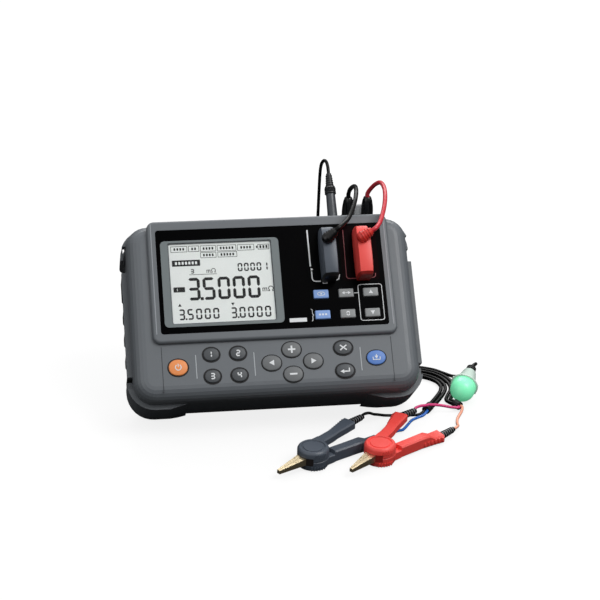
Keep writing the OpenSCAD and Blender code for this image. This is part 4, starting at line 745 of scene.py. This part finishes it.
# Display, with rows of small bars in boxes where a real one has words
BOXES = [(-64, -53.6, 100, 103.8), (-52.6, -45.9, 100, 103.8), (-44.9, -34.9, 99.9, 103.7),
         (-33.9, -21.8, 99.8, 103.6), (-20.8, -10.1, 99.7, 103.5), (-45, -35, 95.6, 99.1),
         (-33.8, -21.5, 95.6, 99.0)]
LETTER_W, LETTER_H, LETTER_PITCH, BOX_MARGIN = 1.1, 1.7, 1.9, 1.6
# Depths of the dark figures, of the pale rim, and of pale marks on dark blocks
FIGURE_DEPTHS, RIM_DEPTHS, PALE_DEPTHS = (1.94, 2.15), (1.96, 2.15), (1.9, 2.0)


def word_box(x0, x1, z0, z1):
    marks = [line([(x0, z0), (x1, z0), (x1, z1), (x0, z1)], 0.3, closed=True)]
    n = int((x1 - x0 - BOX_MARGIN) // LETTER_PITCH)
    for i in range(n):
        x = (x0 + x1) / 2 + (i - (n - 1) / 2) * LETTER_PITCH
        marks.append(block(LETTER_W, LETTER_H, 0.2, x, (z0 + z1) / 2, 2))
    return marks


def battery_sign(x, z):
    case = [(x - 3.5, z - 1.65), (x + 3.5, z - 1.65), (x + 3.5, z + 1.65), (x - 3.5, z + 1.65)]
    bars = [block(1.2, 2.0, 0.1, x - 1.9 + 2.0 * i, z, 2) for i in range(3)]
    return [line(case, 0.35, closed=True), block(0.9, 1.6, 0.2, x - 4.3, z, 2)] + bars


def unit_sign(x, z, s):
    """Milliohm sign of scale s."""
    thick = 0.42 * s
    marks = [line(arc(x + 1.6 * s, z + 1.55 * s, 1.25 * s, 1.2 * s, -58, 296, 14), thick)]
    marks += [block(s, thick, 0.05, x + s * (1.6 + side * 1.1), z + 0.25 * s, 2) for side in (-1, 1)]
    marks += [block(thick, 1.7 * s, 0.05, x - s * (0.6 + 1.05 * i), z + 0.85 * s, 2) for i in range(3)]
    return marks + [block(2.5 * s, 0.4 * s, 0.05, x - 1.65 * s, z + 1.8 * s, 2)]


def make_display():
    marks = [mark for box in BOXES for mark in word_box(*box)]
    marks += [block(18.1, 4.1, 0.3, -54.75, 92.35, 2), block(7.4, 3.4, 0.3, -60.2, 74.6, 2)]
    marks += battery_sign(-3.9, 101.55)
    marks += [block(17.8, 0.3, 0.1, -44.2, 84.4, 2),
              figures("3", -52.2, 85.2, 2.3, 3.0, 0.6),
              figures("00001", -21.6, 85.4, 3.1, 5.6, 0.9, 1.0),
              figures("3.5000", -54.7, 67.1, 7.9, 15.1, 1.95, 1.8),
              figures("3.5000", -61.5, 54.3, 3.9, 7.2, 1.05, 1.6),
              figures("3.0000", -28.1, 54.1, 3.9, 7.3, 1.05, 1.6),
              arrow(2.0, 90, -60.5, 64.2),
              arrow(2.0, -90, -26.5, 63.6)]
    marks += unit_sign(-39, 85.3, 1.0) + unit_sign(-3.1, 71.2, 1.22)
    add_marks("display_figures", "display_segment", marks, FIGURE_DEPTHS)
    rim = [(-66.3, 51.8), (0.7, 51.8), (0.7, 106), (-66.3, 106)]
    add_marks("display_rim", "display_edge", [line(rim, 0.7, closed=True)], RIM_DEPTHS)
    white = [block(1.3, 1.9, 0.2, -61.2 + 2.15 * i, 92.35, 2) for i in range(7)]
    white.append(figures("1", -62.6, 73.5, 1.4, 2.1, 0.4))
    add_marks("display_inverse", "display_face", white, PALE_DEPTHS)


make_display()


# Prints on the panel and on the lower face
PRINT_DEPTHS, RED_DEPTHS, FIELD_DEPTHS, FACE_DEPTHS = (0.09, 0.3), (0.11, 0.3), (0.12, 0.3), (2.96, 3.1)


def make_prints():
    route = [(26, 82.7)] + arc(28.4, 78.2, 2.4, 2.4, 180, 90, 6) + [(31.5, 75.8)]
    brace = [(23.4, 57.3), (24.1, 56.8), (24.2, 53.9), (24.9, 53.2), (24.2, 52.5), (24.1, 49.7), (23.4, 49.2)]
    round_keys = [(x + 63.2, z + 60.25) for x, z in rectangle(15.6, 24.3, 1.6, 4)]
    white = [line([(25.35, 111.1), (25.45, 98.5), (25.5, 86.1)], 0.9), line(route, 0.7),
             line([(36.6, 75.9), (41.6, 76), (43.4, 76.9), (44.2, 79.9)], 0.6),
             line([(32.9, 74.3), (35.5, 74.3), (35.5, 77.1), (32.9, 77.1)], 0.45, closed=True),
             block(0.9, 1.3, 0.1, 34.2, 75.7), arrow(1.8, 0, 26.3, 84.1),
             line(round_keys, 0.42, closed=True), block(3.0, 0.4, 0.1, 53.8, 66.9),
             block(11.2, 2.6, 0.3, 14.6, 50.4), line(brace, 0.32)]
    add_marks("panel_prints", "print_white", white, PRINT_DEPTHS)
    red = [line([(49, 110.2), (48.7, 86.5), (48.6, 78.1), (49.4, 76.9), (55.8, 76.7)], 0.5),
           line([(61.6, 76.8), (66.6, 77), (67.7, 77.9), (67.9, 80)], 0.5)]
    add_marks("panel_red_prints", "print_red", red, RED_DEPTHS)
    add_marks("panel_triangle", "print_pink", [arrow(2.5, 90, 58.7, 76)], PRINT_DEPTHS)
    field = block(24.5, 37.5, 2, 58.2, 94.2)
    add_marks("panel_red_field", "panel_maroon", [field], FIELD_DEPTHS)
    lines = [block(0.5, 15.5, 0.2, x, 23.5) for x in (-52.6, -15.4, 53.4)]
    add_marks("face_lines", "print_grey", lines, FACE_DEPTHS)


make_prints()


# Lamp
LAMP_AT, LAMP_TURN, LAMP_LEAN = (130.5, -30.8, 9.503), 241.7, 102
LAMP_R, LAMP_MID, LAMP_SEAT, LAMP_TEETH, LAMP_TOOTH_R = 8.2, 5.45, 1.2, 8, 9.2
LAMP_BASE = [(0, -13), (4.2, -13), (4.5, -12.6), (7.3, -0.4), (7.5, 0), (9.1, 0), (9.35, 0.3), (9.35, 0.9),
             (9.1, LAMP_SEAT), (0, LAMP_SEAT)]
LAMP_GLAND = [(0, -18.4), (2.6, -18.4), (3.3, -18.0), (3.3, -17.2), (2.9, -17), (2.9, -16.4), (3.4, -16.2),
              (3.4, -15.2), (3, -15), (3, -14.4), (3.7, -14.1), (3.8, -12.9), (0, -12.9)]
LAMP_TOOTH = [(0, 0), (0.5, 0.1), (0.5, 1.1), (0, LAMP_SEAT)]


def make_lamp():
    at = WORLD @ moved(*LAMP_AT) @ turned_by(LAMP_TURN, "Z") @ turned_by(LAMP_LEAN, "Y")
    dome = [(LAMP_R * 0.6, LAMP_SEAT), (LAMP_R, LAMP_SEAT), (LAMP_R, LAMP_MID)]
    dome += arc(0, LAMP_MID, LAMP_R, LAMP_R, 8, 80, 10) + [(0, LAMP_MID + LAMP_R)]
    add_piece("lamp_dome_lit", "lamp_glow", lambda bm: turned(bm, dome), matrix=at, sharp=50,
              parts=["lamp_dome"])

    def base(bm):
        turned(bm, LAMP_BASE)
        for x, y in arc(0, 0, LAMP_TOOTH_R, LAMP_TOOTH_R, 10, 360, LAMP_TEETH)[:-1]:
            turned(bm, LAMP_TOOTH, 8, moved(x, y, 0))
    add_piece("lamp_body", "lamp_clear_base", base, matrix=at, sharp=30, parts=["lamp_base"])
    add_piece("lamp_gland", "cord_rubber", lambda bm: turned(bm, LAMP_GLAND, 32), matrix=at, sharp=30)


make_lamp()


# Plugs, their boots and the junction
SOCKET_X, SOCKET_Z, COLOUR_PITCH, PIN_PITCH = PANEL_W / 2 - 36.9, PANEL_Z1 - 22.2, 22.7, 19
PLUG_D, PLUG_H, PLUG_HALF_W, PLUG_SEAT = 15.5, 35, 5, -0.1
PLUG_LEVELS = [(-15.3, 0.95, 0.93), (-12, 0.98, 0.98), (-4, 1, 1), (4, 1, 0.98), (9, 0.98, 0.93),
               (14, 0.93, 0.8), (16.6, 0.86, 0.66), (17.5, 0.78, 0.5)]
# Lower end of each plug, drawn apart so that it carries painted shade
TIP_LEVELS = [(-17.5, 0.86, 0.74), (-16.9, 0.91, 0.84), (-15.25, 0.95, 0.925)]
BANANA_PIN = [(0, 0), (2, 0), (2, 17.8), (1.5, 18.8), (0, 18.8)]
PIN_SEAT, BOOT_SIDE, BOOT_DROP = -0.15, 1.3, 10.4
# For each colour: place across, looks of shell, tip and boot, and the boot's lean and turn. The tip's look is
# darker than the shell's and paints the shade on the plug's lower end.
PLUGS = {"black": (0, "slate_plastic", "black_tip", "black_gloss", 56, -25),
         "red": (COLOUR_PITCH, "red_plastic", "red_tip", "red_boot", 62.5, -16.4)}


def ribbed(r0, r1, l, count, rib, sunk):
    """Profile of a tapered boot with raised ribs, which starts as a ball of depth sunk."""
    profile = [(0, -sunk)] + arc(0, 0, r0, sunk, -75, 50, 2)
    pitch = l * 0.86 / count
    for i in range(count):
        start = l * 0.06 + pitch * i
        for f, lift in ((0.0, 0), (0.12, rib), (0.5, rib), (0.62, 0)):
            h = start + pitch * f
            profile.append((r0 + (r1 - r0) * h / l + lift, h))
    return profile + [(r1, l * 0.98), (r1 * 0.8, l), (0, l)]


PLUG_BOOT = ribbed(3.9, 2.4, 7.9, 4, 0.5, 3.4)


def plug_loft(x, levels):
    """Faceted plug with a ridge down its front, through levels of (height, width share, depth share)."""
    rings = []
    for h, wide, deep in levels:
        w, d, z = PLUG_HALF_W * wide, PLUG_D * deep, SOCKET_Z + h
        rings.append([(x - w, PLUG_SEAT, z), (x - w, -d * 0.62, z), (x - w * 0.78, -d * 0.93, z),
                      (x + w * 0.12, -d, z), (x + w * 0.86, -d * 0.96, z), (x + w, -d * 0.84, z),
                      (x + w, PLUG_SEAT, z)])
    return lambda bm: loft(bm, rings)


def make_plug(colour):
    across, look, tip_shade_look, boot_look, lean, turn = PLUGS[colour]
    x, name, slot = SOCKET_X + across, f"plug_{colour}", f"{colour}_plastic"
    boot_at = METER @ moved(x - BOOT_SIDE, -PLUG_D, SOCKET_Z + PLUG_H / 2 - BOOT_DROP) \
        @ turned_by(turn, "Z") @ turned_by(lean, "Y")

    def pins(bm):
        for side in (-1, 1):
            at = moved(x, PIN_SEAT, SOCKET_Z + side * PIN_PITCH / 2) @ turned_by(-90, "X")
            turned(bm, BANANA_PIN, 24, at)

    add_piece(name + "_shell", look, plug_loft(x, PLUG_LEVELS), sharp=24, parts=[name])
    add_piece(name + "_tip", tip_shade_look, plug_loft(x, TIP_LEVELS), sharp=24)
    add_piece(name + "_boot", boot_look, lambda bm: turned(bm, PLUG_BOOT, 40), matrix=boot_at, sharp=24)
    add_piece(name + "_pins", "gold_contact", pins)


for colour in PLUGS:
    make_plug(colour)

JUNCTION_TOP, JUNCTION_SIZE, JUNCTION_CORNER, JUNCTION_EDGE = (68, 47.5, 103), (24, 9, 27), 2.6, 1.2
JUNCTION_BOOT = [(0, -0.4), (4.2, -0.4), (4.25, 3), (4.1, 6), (3.4, 10.6), (2.6, 13.1), (2.2, 13.5),
                 (0, 13.5)]
JUNCTION_BOOT_X = 6.6
LABEL_W, LABEL_D, LABEL_CORNER, LABEL_H = 5.2, 2.6, 0.8, 7.8
DOT_ROWS, DOT_COLUMNS, DOT_LOW, DOT_RISE, DOT_ACROSS, DOT_Y = 4, 3, 1.4, 1.7, 1.5, -1.28
DOT = [(0, 0), (0.5, 0), (0.4, 0.2), (0, 0.2)]


def make_junction():
    at = WORLD @ moved(*JUNCTION_TOP)
    w, d, h = JUNCTION_SIZE
    k = JUNCTION_EDGE

    def body(bm):
        loft(bm, [[(p, q, z) for p, q in rectangle(w - 2 * inset, d - 2 * inset, JUNCTION_CORNER)]
                  for z, inset in ((-h, k), (k - h, 0), (-k, 0), (0, k))])
        for side in (-1, 1):
            turned(bm, JUNCTION_BOOT, 32, moved(side * JUNCTION_BOOT_X, 0, 0))

    def label(bm):
        outline = rectangle(LABEL_W, LABEL_D, LABEL_CORNER)
        loft(bm, [[(p, q, z) for p, q in outline] for z in (-0.1, LABEL_H)])
        for i in range(DOT_ROWS):
            for j in range(DOT_COLUMNS):
                dot_at = moved(DOT_ACROSS * (j - 1), DOT_Y, DOT_LOW + DOT_RISE * i) @ turned_by(90, "X")
                turned(bm, DOT, 10, dot_at)

    add_piece("junction_boots", "black_gloss", body, matrix=at, sharp=28, parts=["lead_junction"])
    add_piece("junction_label", "cord_label", label, matrix=at, sharp=30)


make_junction()

LAMP_PLUG_X, LAMP_PLUG_Y = 48, 27
LAMP_PLUG = [(0, 0.1), (3.7, 0.1), (3.7, 1.2), (3.5, 1.6), (3.1, 25), (0, 25)]
LAMP_PIN = [(0, -13), (0.9, -12.9), (1.7, -12), (1.7, 0.2), (0, 0.2)]
LAMP_COLLAR = [(0, 24.6), (3.3, 24.6), (3.9, 25.2)] + \
    [(3.9 - 0.4 * (k % 2), 25.6 + 0.55 * k) for k in range(8)] + [(3.4, 30.2), (0, 30.3)]
LAMP_PLUG_BOOT = ribbed(2.5, 1.75, 9.6, 5, 0.35, 0.3)


def make_lamp_plug():
    at = METER @ moved(LAMP_PLUG_X, LAMP_PLUG_Y, BUMPER + CASE_H)

    def collar(bm):
        turned(bm, LAMP_COLLAR, 40)
        turned(bm, LAMP_PLUG_BOOT, 32, moved(0, 0, 30.2))

    add_piece("lamp_plug_body", "plug_grey", lambda bm: turned(bm, LAMP_PLUG, 40), matrix=at, sharp=24,
              parts=["lamp_plug"])
    add_piece("lamp_plug_collar", "black_plastic", collar, matrix=at, sharp=24)
    add_piece("lamp_plug_pin", "steel", lambda bm: turned(bm, LAMP_PIN, 24), matrix=at)


make_lamp_plug()


# Clips
# For each colour: place, turn on the table, how far the handles close, look, and the turns of both boots
CLIPS = {"black": (15.4, -106.5, 34, 5, "slate_plastic", (1, 8.5)),
         "red": (57.7, -106.6, 41.5, 0, "red_plastic", (4, -10))}
DRUM_R, BASE_TOP, LEVER_LOW = 10, 6.35, 6.65
HANDLE_OUT, HANDLE_IN, HANDLE_RIBS = 18.6, 9.4, 6
# Length, lowest and highest level, and the tops at the end and at the drum
LEVER_HANDLE, BASE_HANDLE = (42, LEVER_LOW, 12.4, 12.4, 12.4), (48, 0.6, 8.6, 6, BASE_TOP - 0.05)
# Low and high end, slant and angles of the ridges on the drum
LEVER_RIDGES, BASE_RIDGES = (9.2, 11.9, 9, range(-96, -46, 10)), (0.9, 3.4, 3, range(-104, -44, 10))
WINDOW_FROM, WINDOW_SWEEP, WINDOW_LOW, WINDOW_HIGH = 154, 74, 4.2, 9.1
LEVER_DRUM = [(0, LEVER_LOW), (9.7, LEVER_LOW), (10, 6.9), (10, 11.4), (9.5, 12.4), (8.7, 13), (7.6, 13),
              (7.3, 12.4), (6.5, 12.4), (6.2, 13), (0, 13)]
BASE_DRUM = [(0, 0), (8.4, 0), (9.5, 0.6), (10, 1.6), (10, 6.1), (9.7, BASE_TOP), (0, BASE_TOP)]
BOOT_L, BOOT_R0, BOOT_R1, BOOT_RIBS, BOOT_RISE = 14, 2.3, 1.65, 6, 0.35


def handle_section(outer, inner, z0, z1, chamfer):
    """Chamfered rectangle that stands between an outer and an inner point."""
    a, b = Vector((*outer, 0)), Vector((*inner, 0))
    step = (b - a).normalized() * chamfer
    corners = [(a + step, z0), (b - step, z0), (b, z0 + chamfer), (b, z1 - chamfer), (b - step, z1),
               (a + step, z1), (a, z1 - chamfer), (a, z0 + chamfer)]
    return [Vector((p.x, p.y, z)) for p, z in corners]


def draw_handle(bm, upper, place):
    """Bent handle of a clip half. Returns its length and the height of its wire's exit."""
    l, low, high, end, first = LEVER_HANDLE if upper else BASE_HANDLE
    sections = [((4, 8.4), (4, 0.6), low, first, 0.3), ((10.3, 9.4), (10.7, 2.0), low, first, 0.5),
                ((10.9, 9.5), (11.3, 2.3), low, high, 0.9), ((20, 11.4), (20, 4.1), low, high, 0.9),
                ((0.6 * l, 13.2), (0.6 * l, 5.8), low, high, 0.9),
                ((0.7 * l, 14.7), (0.71 * l, 6.8), low, high, 0.9),
                ((0.79 * l, 16), (0.82 * l, 7.7), low, end, 0.9),
                ((0.925 * l, 18.3), (0.985 * l, 9.3), low, end, 0.9),
                ((0.94 * l, 17.6), (0.995 * l, 10), low + 0.7, end - 0.7, 0.5)]
    loft(bm, [[place @ p for p in handle_section(*section)] for section in sections])
    rib_h = end - low - 1.8
    rib = [(0, 0), (0.6, 0.1), (0.8, 0.6), (0.8, rib_h - 0.6), (0.6, rib_h - 0.1), (0, rib_h)]
    for i in range(HANDLE_RIBS):
        x, y = l * (0.62 + 0.055 * i), HANDLE_OUT * (0.715 + 0.05 * i)
        turned(bm, rib, 12, place @ moved(x, y, low + 0.9))
    return l, (low + end) / 2


def ridges(bm, turn, low, high, slant, angles, rise=0.45, half=0.45):
    """Short raised bars on the drum, at angles seen from above."""
    out = DRUM_R + rise
    edges = ((DRUM_R, half), (DRUM_R, -half), (out, -half * 0.7), (out, half * 0.7))
    for a in angles:
        rings = []
        for z, extra in ((low, 0), (high, slant)):
            t = math.radians(a - turn + extra)
            c, s = math.cos(t), math.sin(t)
            rings.append([(r * c + k * s, r * s - k * c, z) for r, k in edges])
        loft(bm, rings)


def make_clip_half(colour, upper):
    """Shell, boot and pale bands on the boot's rib crests that are painted highlights. The base's handle
    mirrors the lever's.
    """
    x, y, turn, closer, look, boot_turns = CLIPS[colour]
    body, half = (f"{colour}_lever", "lever") if upper else ("meter", "base")
    name = f"clip_{colour}_{half}"
    place = WORLD @ moved(x, y, 0) @ turned_by(turn, "Z")
    seat = Matrix.Diagonal((1, 1 if upper else -1, 1, 1)) @ turned_by(-closer, "Z")
    handle = []

    def shell(bm):
        turned(bm, LEVER_DRUM if upper else BASE_DRUM, 72)
        ridges(bm, turn, *(LEVER_RIDGES if upper else BASE_RIDGES))
        handle.extend(draw_handle(bm, upper, seat))

    # Painted highlights: pale bands on the crests of the boot's ribs
    def marks(bm):
        for i in range(BOOT_RIBS):
            h = BOOT_L * 0.06 + BOOT_L * 0.86 / BOOT_RIBS * (i + 0.31)
            r = BOOT_R0 - (BOOT_R0 - BOOT_R1) * h / BOOT_L + BOOT_RISE
            band = [(r - 0.3, h - 0.16), (r + 0.05, h - 0.16), (r + 0.05, h + 0.16), (r - 0.3, h + 0.16)]
            turned(bm, band, 28)

    boot = ribbed(BOOT_R0, BOOT_R1, BOOT_L, BOOT_RIBS, BOOT_RISE, 0.3)
    add_piece(name + "_shell", look, shell, body, place, 28, [name])
    l, mid = handle
    boot_at = place @ seat @ moved(l * 0.965 - 1, (HANDLE_IN + HANDLE_OUT) / 2, mid) \
        @ turned_by(boot_turns[upper], "Z") @ turned_by(90, "Y")
    add_piece(name + "_boot", "black_gloss", lambda bm: turned(bm, boot, 28), body, boot_at, 24)
    add_piece(name + "_marks", "boot_rib_highlight", marks, body, boot_at, 24)


def make_clip_window(colour):
    """Dark curved patch over the side of the drum."""
    x, y, turn = CLIPS[colour][:3]
    outer, inner = (arc(0, 0, r, r, WINDOW_FROM, WINDOW_SWEEP, 8) for r in (DRUM_R + 0.05, DRUM_R - 0.8))
    z0, z1 = WINDOW_LOW, WINDOW_HIGH

    def window(bm):
        for a, b, c, d in zip(outer, outer[1:], inner, inner[1:]):
            loft(bm, [[(*p, z0), (*q, z0), (*q, z1), (*p, z1)] for p, q in ((a, b), (c, d))])
    add_piece(f"clip_{colour}_window", "red_tip" if colour == "red" else "clip_window", window,
              matrix=WORLD @ moved(x, y, 0) @ turned_by(turn, "Z"), sharp=30)


for colour in CLIPS:
    make_clip_half(colour, False)
    make_clip_half(colour, True)
    make_clip_window(colour)


# Lines on the case: painted shade in the grooves, painted highlights along the bezel's edges, and dark rings
# round the keys
GROOVE_SHADE_DEPTHS, HIGHLIGHT_DEPTHS = (2.95, 3.2), (-0.12, 0.2)


def make_case_lines():
    # Painted shade in the grooves of the lower face
    groove_shades = [block(0.5, 30, 0.2, side * 74, 22.5) for side in (-1, 1)]
    # Painted highlights along the bezel's rounded side edges
    highlight_strips = [block(0.6, 74, 0.25, side * 76.4, 82) for side in (-1, 1)]

    # Dark rings round the oval keys: the dark gap, with painted shade in it
    def rings(bm):
        for name in OVALS:
            x, z, w, h = key_place(name)
            k = key_gap(name) - 0.1
            near, far = oval(w - k, h - k), oval(w + 0.7, h + 0.7)
            levels = ((far, 3.2), (far, 2.94), (near, 2.94), (near, 3.2))
            loft(bm, [[(x + a, y, z + b) for a, b in points] for points, y in levels], True)

    add_marks("case_groove_shades", "groove_painted_shade", groove_shades, GROOVE_SHADE_DEPTHS)
    add_marks("bezel_painted_highlights", "painted_highlight_grey", highlight_strips, HIGHLIGHT_DEPTHS)
    add_piece("key_gap_shade_rings", "black_rubber", rings, sharp=20)


make_case_lines()
